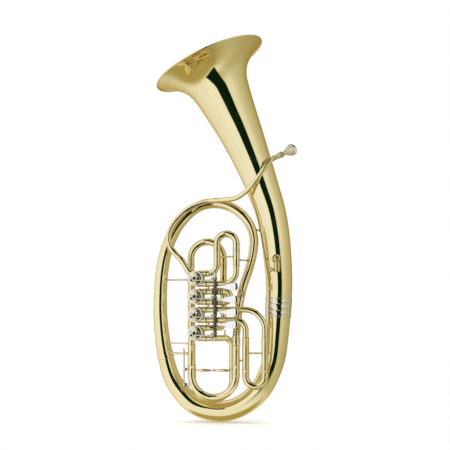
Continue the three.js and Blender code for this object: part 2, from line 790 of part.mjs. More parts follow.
function lever(index) {
  const top = leverTops[index];
  const bottom = leverBottoms[index];
  const axis = at(axleX, axleY, 0);
  const hub = turned([
    [hubBore, bottom], [collarRadius, bottom], [collarRadius, bottom + collarHeight],
    [hubRadius, bottom + collarHeight], [hubRadius, top - collarHeight], [collarRadius, top - collarHeight],
    [collarRadius, top], [hubBore, top],
  ], rodSides, axis, up);
  const outline = new THREE.Shape();
  outline.moveTo(hubRadius - tubeWall, -paddleRootHeight / 2);
  outline.lineTo(hubRadius - tubeWall, paddleRootHeight / 2);
  paddleShares.forEach(([along, height]) => outline.lineTo(along * paddleLength, height * paddleTipHeight));
  outline.closePath();
  const paddle = new THREE.ExtrudeGeometry(outline, { depth: paddleThickness, bevelEnabled: false });
  paddle.translate(0, 0, -paddleThickness / 2);
  paddle.rotateX(Math.PI / 2);
  paddle.rotateZ(-leverSwing);
  paddle.translate(axleX, axleY, paddleZs[index]);
  const swing = -leverSwing / 2;
  const armHeading = at(Math.sin(swing), -Math.cos(swing), 0);
  const armZ = linkZ(index) + armLift;
  const armStart = at(axleX, axleY, armZ).addScaledVector(armHeading, (hubBore + hubRadius) / 2);
  const armEnd = at(axleX, axleY, armZ).addScaledVector(armHeading, leverArm + armWidth / 2);
  const bar = new THREE.BoxGeometry(armWidth, armStart.distanceTo(armEnd), armThickness);
  bar.rotateZ(swing);
  const barCentre = armStart.clone().add(armEnd).divideScalar(2);
  bar.translate(barCentre.x, barCentre.y, barCentre.z);
  const pinAt = at(axleX, axleY, armZ).addScaledVector(armHeading, leverArm);
  const pinFoot = linkZ(index) - eyeThickness / 2 - crankRadius + crankSide - pinFit;
  const pin = rod(at(pinAt.x, pinAt.y, pinFoot), pinAt, pinRadius);
  const clear = turned([
    [0, bottom - overrun], [hubBore, bottom - overrun], [hubBore, top + overrun], [0, top + overrun],
  ], rodSides, axis, up);
  return geometryOf(joined(hub, paddle, bar, pin).subtract(solid(clear)));
}

// Return spring: one wire wound round the hub tube
const springRadius = hubRadius + springClearance + springWireRadius;
function spring(index) {
  const points = [];
  const steps = springCurls * springStepsPerCurl;
  for (let i = 0; i <= steps; i += 1) {
    const angle = (2 * Math.PI * i) / springStepsPerCurl;
    points.push(at(
      axleX + springRadius * Math.cos(angle),
      axleY + springRadius * Math.sin(angle),
      springStartZs[index] + (springPitch * i) / springStepsPerCurl,
    ));
  }
  const route = makeRoute(points);
  return { route, geometry: pipe(route, even(route, springWireRadius), null, springWireSides) };
}

// Least clear distance between turns, measured from point to point of the wire's middle
function leastSpringGap(route) {
  let least = Infinity;
  for (let i = 0; i < route.points.length; i += 1) {
    for (let j = i + springStepsPerCurl - 2; j < route.points.length; j += 1) {
      least = Math.min(least, route.points[i].distanceTo(route.points[j]));
    }
  }
  return least - 2 * springWireRadius;
}

for (let index = 0; index < valveCount; index += 1) {
  const name = `valve_${index + 1}`;
  addNode(`${name}_casing`, casing(index), 'nickelSilver');
  addNode(`${name}_rotor`, rotor(index), 'nickelSilver');
  addNode(`${name}_back_cap`, backCap(index), 'lacqueredBrass');
  addNode(`${name}_stop_arm`, stopArm(index), 'nickelSilver');
  addNode(`${name}_link`, link(index), 'silverPlate');
  addNode(`${name}_lever`, lever(index), 'silverPlate');
  const wound = spring(index);
  addNode(`${name}_spring`, wound.geometry, 'springSteel');
  console.log(`${name}_spring least gap ${leastSpringGap(wound.route).toFixed(2)} mm`);
}

// Axle and its two brackets, each with a foot towards the tube behind it
const topBracketLow = leverStackTopZ + seatGap;
const topBracketHigh = topBracketLow + bracketHeight + 2 * collarHeight;
const bottomBracketHigh = leverStackBottomZ - seatGap;
const bottomBracketLow = bottomBracketHigh - bracketHeight - collarHeight;
const axleTopZ = topBracketHigh - axleEndWall;
const axleBottomZ = bottomBracketLow + axleEndWall;
const axle = rod(at(axleX, axleY, axleBottomZ), at(axleX, axleY, axleTopZ), axleRadius);
addNode('lever_axle', axle, 'springSteel');

function axleBracket(low, high) {
  const outline = [[0, low], [bracketRadius, low], [bracketRadius, high], [0, high]];
  const boss = turned(outline, hubSides, at(axleX, axleY, 0), up);
  const tubeFront = valvePlaneY - tubeRadius - seatGap;
  const foot = new THREE.BoxGeometry(bracketWidth, tubeFront - axleY, high - low);
  foot.translate(axleX, (tubeFront + axleY) / 2, (low + high) / 2);
  return joined(boss, foot);
}

const topSocket = rod(
  at(axleX, axleY, topBracketLow - overrun),
  at(axleX, axleY, axleTopZ + seatGap),
  axleRadius + seatGap,
);
const topBracket = axleBracket(topBracketLow, topBracketHigh).subtract(solid(topSocket));
addNode('axle_bracket_top', geometryOf(topBracket), 'nickelSilver');
const bottomSocket = rod(
  at(axleX, axleY, axleBottomZ - seatGap),
  at(axleX, axleY, bottomBracketHigh + overrun),
  axleRadius + seatGap,
);
const bottomBracket = axleBracket(bottomBracketLow, bottomBracketHigh).subtract(solid(bottomSocket));
addNode('axle_bracket_bottom', geometryOf(bottomBracket), 'nickelSilver');

// A fixed tube that ends in a sleeve: outer and inner walls widen a lip apart
function sleeveEnd(route, sleeveLength, tube, socket, sleeve) {
  const edge = route.length - sleeveLength;
  return {
    outer: [[0, tube], [edge - socketLip, tube], [edge - socketLip, sleeve], [route.length, sleeve]],
    inner: [[0, tube - tubeWall], [edge, tube - tubeWall], [edge, socket], [route.length, socket]],
  };
}

function sleevedPipe(route, sleeveLength) {
  const walls = sleeveEnd(route, sleeveLength, tubeRadius, sleeveBore, sleeveRadius);
  return pipe(route, walls.outer, walls.inner);
}

// A slide bow: two inner legs, a ferrule on each and the bend between them
function slideBow(legA, legB, heading, insert, reach, tube, sleeve) {
  const width = legA.distanceTo(legB);
  const inA = legA.clone().addScaledVector(heading, -insert);
  const inB = legB.clone().addScaledVector(heading, -insert);
  const outA = legA.clone().addScaledVector(heading, reach);
  const outB = legB.clone().addScaledVector(heading, reach);
  const bend = width / 2 - seatGap / 4;
  const route = bentRoute([[inA, 0], [outA, bend], [outB, bend], [inB, 0]]);
  const start = insert + seatGap;
  const outer = [
    [0, tube], [start, tube], [start, sleeve], [route.length - start, sleeve], [route.length - start, tube],
    [route.length, tube],
  ];
  return pipe(route, outer, even(route, tube - tubeWall));
}

const portStart = portX + seatGap;
const upperPort = (index) => at(portStart, valvePlaneY, valveZ(index) + portOffset);
const lowerPort = (index) => at(portStart, valvePlaneY, valveZ(index) - portOffset);

// Slide of valve 1
const slideOneRightX = slideOneLeftX + slideOneWidth;
const slideOneLeft = bentRoute([
  [upperPort(0), 0],
  [at(slideOneLeftX, valvePlaneY, upperPort(0).z), slideOneInnerBend],
  [at(slideOneLeftX, valvePlaneY, slideOneSleeveTop), 0],
]);
const slideOneRight = bentRoute([
  [lowerPort(0), 0],
  [at(slideOneRightX, valvePlaneY, lowerPort(0).z), slideOneOuterBend],
  [at(slideOneRightX, valvePlaneY, slideOneSleeveTop), 0],
]);
const legBrace = (x1, x2, z, radius) => (
  rod(at(x1, valvePlaneY, z), at(x2, valvePlaneY, z), radius, drillSides)
);
const braceReach = (flatShare * (sleeveBore + sleeveRadius)) / 2;
addNode('valve_1_slide_tubes', geometryOf(joined(
  sleevedPipe(slideOneLeft, slideOneSleeveLength),
  sleevedPipe(slideOneRight, slideOneSleeveLength),
  legBrace(slideOneLeftX + braceReach, slideOneRightX - braceReach, slideOneBraceZ, balusterRadius / 2),
)), 'lacqueredBrass');
const bowRise = (width) => width / 2;
addNode('valve_1_slide_bow', slideBow(
  at(slideOneLeftX, valvePlaneY, slideOneSleeveTop),
  at(slideOneRightX, valvePlaneY, slideOneSleeveTop),
  up,
  slideInsert,
  slideOneFerrule + bowRise(slideOneWidth),
  tubeRadius,
  sleeveRadius,
), 'lacqueredBrass');

// Slide of valve 2, with the little stays between the neighbouring ports
const stayX = portX + portInset;
const stay = (lowZ, highZ) => (
  rod(at(stayX, valvePlaneY, lowZ), at(stayX, valvePlaneY, highZ), balusterRadius / 2, drillSides)
);
const wallMiddle = flatShare * (tubeRadius - tubeWall / 2);
for (const [key, side] of [['upper', 1], ['lower', -1]]) {
  const z = valveZ(1) + side * portOffset;
  const route = straight(at(portStart, valvePlaneY, z), at(slideTwoSleeveEnd, valvePlaneY, z));
  const neighbour = valveZ(1 - side) - side * portOffset;
  const stayEnds = [z + side * wallMiddle, neighbour - side * (tubeRadius + seatGap)].sort((a, b) => a - b);
  addNode(`valve_2_slide_${key}_tube`, geometryOf(joined(
    sleevedPipe(route, slideTwoSleeveLength),
    stay(...stayEnds),
  )), 'lacqueredBrass');
}
addNode('valve_2_slide_bow', slideBow(
  at(slideTwoSleeveEnd, valvePlaneY, valveZ(1) + portOffset),
  at(slideTwoSleeveEnd, valvePlaneY, valveZ(1) - portOffset),
  right,
  shortInsert,
  slideTwoFerrule + portOffset + tubeWall,
  tubeRadius,
  sleeveRadius,
), 'lacqueredBrass');

// Slide of valve 3
const slideThreeOuterX = slideThreeInnerX + slideThreeWidth;
const slideThreeOuter = bentRoute([
  [upperPort(2), 0],
  [at(slideThreeOuterX, valvePlaneY, upperPort(2).z), slideThreeOuterBend],
  [at(slideThreeOuterX, valvePlaneY, slideThreeSleeveEnd), 0],
]);
const slideThreeInner = bentRoute([
  [lowerPort(2), 0],
  [at(slideThreeInnerX, valvePlaneY, lowerPort(2).z), slideThreeInnerBend],
  [at(slideThreeInnerX, valvePlaneY, slideThreeSleeveEnd), 0],
]);
addNode('valve_3_slide_tubes', geometryOf(joined(
  sleevedPipe(slideThreeOuter, slideThreeSleeveLength),
  sleevedPipe(slideThreeInner, slideThreeSleeveLength),
  legBrace(
    slideThreeInnerX + braceReach,
    slideThreeOuterX - braceReach,
    slideThreeBraceZ,
    balusterRadius / 2,
  ),
  legBrace(
    mainSlideRightX + mainSleeveRadius + seatGap,
    slideThreeInnerX - braceReach,
    slideThreeStayZ,
    balusterRadius / 2,
  ),
  stay(valveZ(3) + portOffset + tubeRadius + seatGap, lowerPort(2).z - wallMiddle),
)), 'lacqueredBrass');
const down = at(0, 0, -1);
addNode('valve_3_slide_bow', slideBow(
  at(slideThreeInnerX, valvePlaneY, slideThreeSleeveEnd),
  at(slideThreeOuterX, valvePlaneY, slideThreeSleeveEnd),
  down,
  slideInsert,
  slideThreeFerrule + bowRise(slideThreeWidth),
  tubeRadius,
  sleeveRadius,
), 'lacqueredBrass');

// Loop of valve 4: right leg into the upper port, left leg round below into the lower port
const loopLeftX = loopRightX - loopWidth;
const loopRight = bentRoute([
  [at(loopRightX, loopY, loopSleeveTop), 0],
  [at(loopRightX, loopY, upperPort(3).z), loopBendRadius],
  [at(loopRightX - loopBendRadius, valvePlaneY, upperPort(3).z), loopBendRadius],
  [upperPort(3), 0],
]);
const sleeveFirst = (route, length) => ({
  outer: [
    [0, sleeveRadius], [length + socketLip, sleeveRadius], [length + socketLip, tubeRadius],
    [route.length, tubeRadius],
  ],
  inner: [[0, sleeveBore], [length, sleeveBore], [length, bore], [route.length, bore]],
});
const loopRightWalls = sleeveFirst(loopRight, loopSleeveLength);
addNode('valve_4_loop_right', pipe(loopRight, loopRightWalls.outer, loopRightWalls.inner), 'lacqueredBrass');
const riserX = mainSlideRightX - riserInset;
const riserLeftX = lineX + riserLeftOffset;
const riserWidth = riserX - riserLeftX;
const loopLeft = bentRoute([
  [at(loopLeftX, loopY, loopSleeveTop), 0],
  [at(loopLeftX, loopY, mainSlideTopZ + 2 * loopBendRadius), riserWidth],
  [at(riserLeftX, riserY, mainSlideBraceZ), riserWidth],
  [at(riserLeftX, riserY, riserBottomZ), riserWidth / 2 - seatGap],
  [at(riserX, riserY, riserBottomZ), riserWidth / 2 - seatGap],
  [at(riserX, riserY, lowerPort(3).z), riserBendRadius],
  [at(riserX - 2 * riserBendRadius, valvePlaneY, lowerPort(3).z), riserBendRadius / 2],
  [lowerPort(3), 0],
]);
const loopLeftWalls = sleeveFirst(loopLeft, loopSleeveLength);
addNode('valve_4_loop_left', pipe(loopLeft, loopLeftWalls.outer, loopLeftWalls.inner), 'lacqueredBrass');
addNode('valve_4_slide_bow', slideBow(
  at(loopLeftX, loopY, loopSleeveTop),
  at(loopRightX, loopY, loopSleeveTop),
  up,
  slideInsert,
  loopBowReach,
  tubeRadius,
  sleeveRadius,
), 'lacqueredBrass');

// Main tuning slide
const lineFootZ = valveZ(valveCount - 1) - valvePitch / 2;
const leftRoute = straight(
  at(lineX, valvePlaneY, lineFootZ - seatGap / 2),
  at(lineX, valvePlaneY, mainSlideSleeveEnd),
);
const rightRoute = straight(
  at(mainSlideRightX, valvePlaneY, mainSlideTopZ),
  at(mainSlideRightX, valvePlaneY, mainSlideSleeveEnd),
);
// A brace from a leg's surface to the body beside it, both feet cut to what they stand on
const bodyBrace = (x, y, z, legRadius, shares, radius) => {
  const distance = distanceAtHeight(z, ...shares);
  const target = bodyPointAt(distance);
  const start = at(x, y, z);
  const heading = target.clone().sub(start).normalize();
  const reach = bodyRadius(distance) - footThickness;
  return solid(brace(
    start.addScaledVector(heading, legRadius - footThickness),
    target.addScaledVector(heading, -reach),
    radius,
  )).subtract(branchCore).subtract(bowFerruleCore);
};
const upperBraceZ = loopSleeveTop - upperBraceDrop;
const legCore = (x, y, z, radius) => (
  solid(rod(at(x, y, z - casingHalf), at(x, y, z + casingHalf), radius, tubeSides))
);
const leftWalls = sleeveEnd(
  leftRoute,
  mainSlideSleeveLength,
  mainTubeRadius,
  mainSleeveBore,
  mainSleeveRadius,
);
const leftTube = solid(pipe(leftRoute, leftWalls.outer, leftWalls.inner))
  .add(bodyBrace(lineX, valvePlaneY, middleBraceZ, mainTubeRadius, branchUpShares, balusterRadius / 2))
  .add(bodyBrace(lineX, valvePlaneY, lowerBraceZ, mainSleeveRadius, branchUpShares, lowerBraceRadius))
  .subtract(solid(pipe(leftRoute, leftWalls.inner, null)));
addNode('main_slide_left_tube', geometryOf(leftTube), 'lacqueredBrass');
addNode('main_slide_right_tube', pipe(
  rightRoute,
  even(rightRoute, mainSleeveRadius),
  even(rightRoute, mainSleeveBore),
), 'lacqueredBrass');
bodyFerrule(
  bodyLength - branchFerruleLength / 2 - seatGap,
  branchFerruleLength,
  bellSides / 2,
  'branch_ferrule',
  'nickelSilver',
  2 * seatGap,
);

// Main slide bow with its turned brace, the water key's nipple and hinge post
const mainSlideBow = slideBow(
  at(lineX, valvePlaneY, mainSlideSleeveEnd),
  at(mainSlideRightX, valvePlaneY, mainSlideSleeveEnd),
  down,
  slideInsert,
  mainSlideFerrule + bowRise(mainSlideWidth),
  mainTubeRadius,
  mainSleeveRadius,
);
const balusterShares = [[0, 0.9], [0.05, 0.5], [0.2, 1], [0.36, 0.85], [0.45, 0.45], [0.5, 0.8]];
const balusterLength = mainSlideWidth - 2 * flatShare * (mainSleeveRadius - sleeveWall / 2);
const balusterHalf = balusterShares.map(([along, radius]) => (
  [radius * balusterRadius, along * balusterLength]
));
const balusterOutline = [
  [0, 0],
  ...balusterHalf,
  ...balusterHalf.slice(0, -1).reverse().map(([radius, along]) => [radius, balusterLength - along]),
  [0, balusterLength],
];
const baluster = turned(
  balusterOutline,
  rodSides,
  at(lineX + flatShare * (mainSleeveRadius - sleeveWall / 2), valvePlaneY, mainSlideBraceZ),
  right,
);
const keyLegX = lineX - mainSleeveRadius;
const keyX = keyLegX - keyStandoff;
const keyPivotX = keyX + keyThickness / 2 + keyBoreRadius + overrun;
const nippleEndX = keyLegX - nippleLength;
const bowDrop = mainSlideSleeveEnd - mainSlideFerrule - keyCorkZ;
const bowHalf = mainSlideWidth / 2;
const nippleRootX = lineX + bowHalf - Math.sqrt(bowHalf ** 2 - bowDrop ** 2) - mainTubeRadius;
const nipple = rod(
  at(nippleEndX, valvePlaneY, keyCorkZ),
  at(nippleRootX + tubeWall, valvePlaneY, keyCorkZ),
  nippleRadius,
);
const nippleDrill = rod(
  at(nippleEndX - overrun, valvePlaneY, keyCorkZ),
  at(nippleRootX + mainTubeRadius, valvePlaneY, keyCorkZ),
  nippleBore,
);
const postRootX = lineX - flatShare * mainSleeveRadius + sleeveWall;
const post = new THREE.BoxGeometry(postRootX - keyPivotX, keyWidth - tubeWall, keyWidth);
post.translate((postRootX + keyPivotX) / 2, valvePlaneY, keyPivotZ);
const keyEarSpread = keyWidth / 2 + seatGap;
const keyPinHalf = keyEarSpread + keyThickness;
const keyPin = rod(
  at(keyPivotX, valvePlaneY - keyPinHalf, keyPivotZ),
  at(keyPivotX, valvePlaneY + keyPinHalf, keyPivotZ),
  keyPinRadius,
);
addNode('main_slide_bow', geometryOf(
  joined(mainSlideBow, baluster, nipple, post, keyPin).subtract(solid(nippleDrill)),
), 'lacqueredBrass');

// Water key: a sprung bar with two ears on the hinge pin and a cork on the nipple
const keyBottomZ = keyCorkZ - keyCorkRadius;
const keyHeight = keyTopZ - keyBottomZ;
const keyBar = new THREE.BoxGeometry(keyThickness, 2 * keyPinHalf - keyThickness, keyHeight);
keyBar.translate(keyX, valvePlaneY, (keyTopZ + keyBottomZ) / 2);
const keyCork = rod(
  at(keyX, valvePlaneY, keyCorkZ),
  at(nippleEndX - seatGap, valvePlaneY, keyCorkZ),
  keyCorkRadius,
);
const keyEars = [1, -1].map((side) => {
  const earReach = keyPivotX + 2 * keyBoreRadius - keyX;
  const ear = new THREE.BoxGeometry(earReach, keyThickness / 2, 4 * keyBoreRadius);
  const earY = valvePlaneY + side * (keyEarSpread + keyThickness / 4);
  ear.translate(keyX + earReach / 2, earY, keyPivotZ);
  return ear;
});
const keyHole = rod(
  at(keyPivotX, valvePlaneY - 2 * keyPinHalf, keyPivotZ),
  at(keyPivotX, valvePlaneY + 2 * keyPinHalf, keyPivotZ),
  keyBoreRadius,
);
const waterKey = joined(keyBar, keyCork, ...keyEars).subtract(solid(keyHole));
addNode('water_key', geometryOf(waterKey), 'nickelSilver');

// Leadpipe with its two saddles, receiver and mouthpiece
const inletSlant = at(-Math.SQRT1_2, 0, Math.SQRT1_2);
const leadpipeFoot = at(valveX, valvePlaneY, valveTopZ).addScaledVector(inletSlant, valvePitch / 2 + seatGap);
const mouthAxis = at(...mouthHeadingShares).normalize();
const [receiverX, receiverDepth, receiverZ] = receiverStartShares;
const receiverStart = at(receiverX * bodyHeight, receiverDepth * valvePlaneY, receiverZ * bodyHeight);
const leadpipeCurve = new THREE.CatmullRomCurve3([
  leadpipeFoot.clone().addScaledVector(inletSlant, tubeRadius),
  ...leadpipeShares.map(([x, depth, z]) => at(x * bodyHeight, depth * valvePlaneY, z * bodyHeight)),
  receiverStart.clone().addScaledVector(mouthAxis, -receiverRadius),
], false, 'centripetal');
const leadpipeRoute = makeRoute([
  leadpipeFoot,
  ...leadpipeCurve.getSpacedPoints(leadpipeStops),
  receiverStart,
]);
const leadpipeOuter = [[0, leadpipeStartRadius], [leadpipeRoute.length, leadpipeEndRadius]];
const leadpipeInner = leadpipeOuter.map(([place, radius]) => [place, radius - leadpipeWall]);
const saddleRootShare = 0.85;
const saddleShares = [[0.5, 0.45, 0.75], [0.83, 0.05, 0.45]];
const saddles = saddleShares.map(([along, fromShare, toShare]) => {
  const start = frameAt(leadpipeRoute, along * leadpipeRoute.length).centre;
  let nearest = fromShare * bodyLength;
  const gapAt = (distance) => bodyPointAt(distance).distanceTo(start) - bodyRadius(distance);
  for (let i = 0; i <= searchSteps; i += 1) {
    const distance = (fromShare + ((toShare - fromShare) * i) / searchSteps) * bodyLength;
    nearest = gapAt(distance) < gapAt(nearest) ? distance : nearest;
  }
  const target = bodyPointAt(nearest);
  const heading = target.clone().sub(start).normalize();
  const pipeRadius = readTable(leadpipeOuter, along * leadpipeRoute.length);
  const begin = start.clone().addScaledVector(heading, pipeRadius - saddleRootShare * leadpipeWall);
  const end = target.addScaledVector(heading, footThickness - bodyRadius(nearest));
  return solid(rod(begin, end, balusterRadius))
    .subtract(branchCore)
    .subtract(bellCore);
});
const leadpipe = saddles.reduce((whole, saddle) => whole.add(saddle), solid(
  pipe(leadpipeRoute, leadpipeOuter, leadpipeInner, rodSides),
));
addNode('leadpipe', geometryOf(leadpipe), 'lacqueredBrass');

const receiverFoot = receiverStart.clone().addScaledVector(mouthAxis, seatGap);
const receiverMouth = receiverStart.clone().addScaledVector(mouthAxis, receiverLength);
const receiverRoute = straight(receiverFoot, receiverMouth);
const shankDepth = receiverRoute.length - shankInserted;
const collarStart = receiverRoute.length - receiverCollar;
addNode('mouthpiece_receiver', pipe(
  receiverRoute,
  [
    [0, leadpipeEndRadius + leadpipeWall], [collarStart, receiverRadius], [collarStart, receiverCollarRadius],
    [receiverRoute.length, receiverCollarRadius],
  ],
  [
    [0, leadpipeEndRadius - leadpipeWall], [shankDepth - seatGap, shankTipRadius - seatGap],
    [shankDepth - seatGap, shankTipRadius + seatGap], [receiverRoute.length, shankRadius + seatGap],
  ],
  knobSides,
), 'nickelSilver');
const shankLength = shankInserted + shankVisible;
const mouthpieceLength = shankLength + cupLength;
const cupOuter = cupOutlineShares.map(([along, radius]) => [
  radius * cupRimRadius,
  mouthpieceLength - along * cupLength,
]);
const cupInnerShares = [[0, 1], [0.18, 0.9], [0.45, 0.6], [0.8, 0.26]];
const cupInner = cupInnerShares.map(([along, radius]) => [
  radius * cupBoreRadius,
  mouthpieceLength - along * cupLength,
]);
addNode('mouthpiece', turned([
  [throatRadius, 0], [shankTipRadius, 0], [shankRadius, shankInserted],
  [shankRadius + shankTipRadius / 4, shankLength], ...cupOuter.slice().reverse(), ...cupInner,
], knobSides, receiverMouth.clone().addScaledVector(mouthAxis, -shankInserted), mouthAxis), 'silverPlate');

// Braces that stand between two other pieces
const branchSide = distanceAtHeight(bellBraceZ, ...branchDownShares);
const bellSide = distanceAtHeight(bellBraceZ, ...bellDownShares);
const bellBrace = solid(brace(
  bodyPointAt(branchSide).addScaledVector(right, bodyRadius(branchSide) - footThickness),
  bodyPointAt(bellSide).addScaledVector(right, footThickness - bodyRadius(bellSide)),
  balusterRadius / 2,
));
addNode('bell_branch_brace', geometryOf(bellBrace.subtract(bellCore).subtract(branchCore)), 'lacqueredBrass');
addNode('slide_branch_brace', geometryOf(
  bodyBrace(slideOneRightX, valvePlaneY, slideBraceZ, sleeveRadius, branchDownShares, balusterRadius / 2)
    .subtract(legCore(slideOneRightX, valvePlaneY, slideBraceZ, sleeveRadius + seatGap)),
), 'lacqueredBrass');
addNode('loop_branch_brace', geometryOf(
  bodyBrace(loopLeftX, loopY, upperBraceZ, sleeveRadius, branchUpShares, balusterRadius / 2)
    .subtract(legCore(loopLeftX, loopY, upperBraceZ, sleeveRadius + seatGap)),
), 'lacqueredBrass');

// Lyre holder: a foot on the bell, a neck and an upright socket, with a thumb screw
const footAt = distanceAtHeight(holderZ, ...bellDownShares);
const footPoint = bodyPointAt(footAt).addScaledVector(front, bodyRadius(footAt));
const socketCentre = footPoint.clone().add(at(screwShankRadius, -holderBlock, -holderPostLength));
const holderFoot = rod(
  footPoint.clone().addScaledVector(front, holderFootThickness),
  footPoint.clone().addScaledVector(front, -2 * holderFootThickness),
  holderFootRadius,
  knobSides,
);
const neckTop = socketCentre.clone().addScaledVector(up, holderBlock / 2);
const neck = rod(footPoint.clone().addScaledVector(front, holderFootThickness / 2), neckTop, balusterRadius);
const socketHalf = at(0, 0, holderBlock - screwShankRadius);
const socketRadius = holderBlock / 2;
const socket = rod(
  socketCentre.clone().sub(socketHalf),
  socketCentre.clone().add(socketHalf),
  socketRadius,
  knobSides,
);
const lyreHole = new THREE.BoxGeometry(lyreSocket, lyreSocket, 4 * holderBlock);
lyreHole.translate(socketCentre.x, socketCentre.y, socketCentre.z);
const screwSeat = socketCentre.clone().addScaledVector(up, -screwDrop);
const screwHeading = at(-1, 0, 0);
const screwHole = rod(
  screwSeat,
  screwSeat.clone().addScaledVector(screwHeading, holderBlock),
  screwShankRadius + seatGap,
);
addNode('lyre_holder', geometryOf(joined(holderFoot, neck, socket)
  .subtract(solid(lyreHole))
  .subtract(solid(screwHole))
  .subtract(bellCore)), 'lacqueredBrass');
const screwTip = screwSeat.clone().addScaledVector(screwHeading, lyreSocket / 2 + seatGap);
const screwReach = socketRadius + overrun - lyreSocket / 2;
const knobFaceShares = [0.7, 0.6];
const [knobBack, knobFront] = knobFaceShares.map((share) => share * screwKnobRadius);
addNode('lyre_screw', turned([
  [0, 0], [screwShankRadius, 0], [screwShankRadius, screwReach],
  [knobBack, screwReach], [screwKnobRadius, screwReach + screwKnobLength / 3],
  [screwKnobRadius, screwReach + (2 * screwKnobLength) / 3], [knobFront, screwReach + screwKnobLength],
  [0, screwReach + screwKnobLength],
], knobSides, screwTip, screwHeading), 'lacqueredBrass');

export default instrument;
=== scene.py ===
"""A wagner tuba in lacquered brass and nickel silver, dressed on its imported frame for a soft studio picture.

The instrument's sizes are in millimetres, in the frame of the solids, and turned to metres where meshes
are made. The lamps and the floor are in metres.
"""

import logging
import math
from dataclasses import dataclass, field
from enum import Enum
from typing import Iterable, Optional, Sequence

import bmesh
import bpy
import numpy as np
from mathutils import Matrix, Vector


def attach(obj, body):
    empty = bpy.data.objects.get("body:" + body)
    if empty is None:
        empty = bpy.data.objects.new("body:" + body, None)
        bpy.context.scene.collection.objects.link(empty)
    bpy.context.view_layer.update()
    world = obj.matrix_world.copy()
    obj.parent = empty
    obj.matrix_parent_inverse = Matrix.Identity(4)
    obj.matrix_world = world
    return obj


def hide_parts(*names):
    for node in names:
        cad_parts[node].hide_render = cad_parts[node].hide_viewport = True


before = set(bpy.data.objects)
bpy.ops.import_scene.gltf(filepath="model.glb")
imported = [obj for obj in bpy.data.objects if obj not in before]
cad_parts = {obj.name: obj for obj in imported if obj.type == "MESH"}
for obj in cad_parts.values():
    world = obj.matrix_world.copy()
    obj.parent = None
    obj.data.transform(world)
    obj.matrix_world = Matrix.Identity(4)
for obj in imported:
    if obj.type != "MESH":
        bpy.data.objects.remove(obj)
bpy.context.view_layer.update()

MM = 0.001
LOG = logging.getLogger("wagner_tuba")

Point = np.ndarray
Ring = list[Point]
Pair = tuple[float, float]
Triple = tuple[float, float, float]
Outline = Sequence[Pair]
Socket = bpy.types.NodeSocket
Feed = Socket | float | tuple

UP = np.array([0.0, 0.0, 1.0])
DOWN = -UP
BACK = np.array([0.0, 1.0, 0.0])
FRONT = -BACK
RIGHT = np.array([1.0, 0.0, 0.0])

# Degrees between the points of an arc, then the least distances between points and stops of a path
ARC_STEP = 5.0
SAME_PLACE = 1e-6
POINT_STEP = 0.2
STOP_STEP = 0.05
OVAL_SIDES = 28
# Radius that stands for a point on a turned form's axis
TIP_RADIUS = 1e-4


# Points and curves


def at(x: float, y: float, z: float) -> Point:
    """A point in millimetres."""
    return np.array([x, y, z], float)


def unit(vector: Point) -> Point:
    """The vector at length one."""
    return vector / np.linalg.norm(vector)


def span(start: Point, end: Point) -> float:
    """The distance between two points."""
    return float(np.linalg.norm(end - start))


def spread(start: float, end: float, count: int) -> list[float]:
    """Values in even steps from start to end."""
    return [start + (end - start) * k / count for k in range(count + 1)]


def turns(sides: int) -> list[float]:
    """Angles of a full turn in even steps."""
    return [2 * math.pi * k / sides for k in range(sides)]


def spoke(degrees: float) -> Point:
    """A direction in a valve's plane, at an angle from the right."""
    return at(math.cos(math.radians(degrees)), 0, math.sin(math.radians(degrees)))


def signed(value: float, power: float) -> float:
    """A power of the value's size, with the value's sign."""
    return math.copysign(abs(value) ** power, value)


def puck(inner: float, outer: float, low: float, high: float, edge: float) -> list[Pair]:
    """Outline of a disc or ring whose outer edges are broken."""
    side = outer - edge
    return [(inner, low), (side, low), (outer, low + edge), (outer, high - edge), (side, high), (inner, high)]


def mirrored(half: Outline, length: float) -> list[Pair]:
    """Outline whose second half is the first one turned round."""
    return [*half, *((radius, length - place) for radius, place in reversed(half))]


def axes(heading: Point) -> tuple[Point, Point, Point]:
    """Three directions square to one another.

    Args:
        heading: Any vector along the first.

    Returns:
        The heading at length one, and two directions across it.
    """
    heading = unit(heading)
    helper = UP if abs(heading[2]) < 0.9 else RIGHT
    across = unit(np.cross(helper, heading))
    return heading, across, np.cross(heading, across)


def circle(centre: Point, across: Point, along: Point, radius: float, sides: int) -> Ring:
    """Points round a centre, in the plane of two directions."""
    return [centre + radius * (across * math.cos(a) + along * math.sin(a)) for a in turns(sides)]


def oval(centre: Point, across: Point, up: Point, half: float, thick: float, power: float = 3.2) -> Ring:
    """A ring between an ellipse and a rounded rectangle.

    Args:
        centre: Its middle.
        across: Direction of its width.
        up: Direction of its thickness.
        half: Half its width.
        thick: Half its thickness.
        power: How square it is; 2 gives an ellipse.

    Returns:
        The ring's points.
    """
    ring = []
    for angle in turns(OVAL_SIDES):
        wide = across * half * signed(math.cos(angle), 2 / power)
        ring.append(centre + wide + up * thick * signed(math.sin(angle), 2 / power))
    return ring


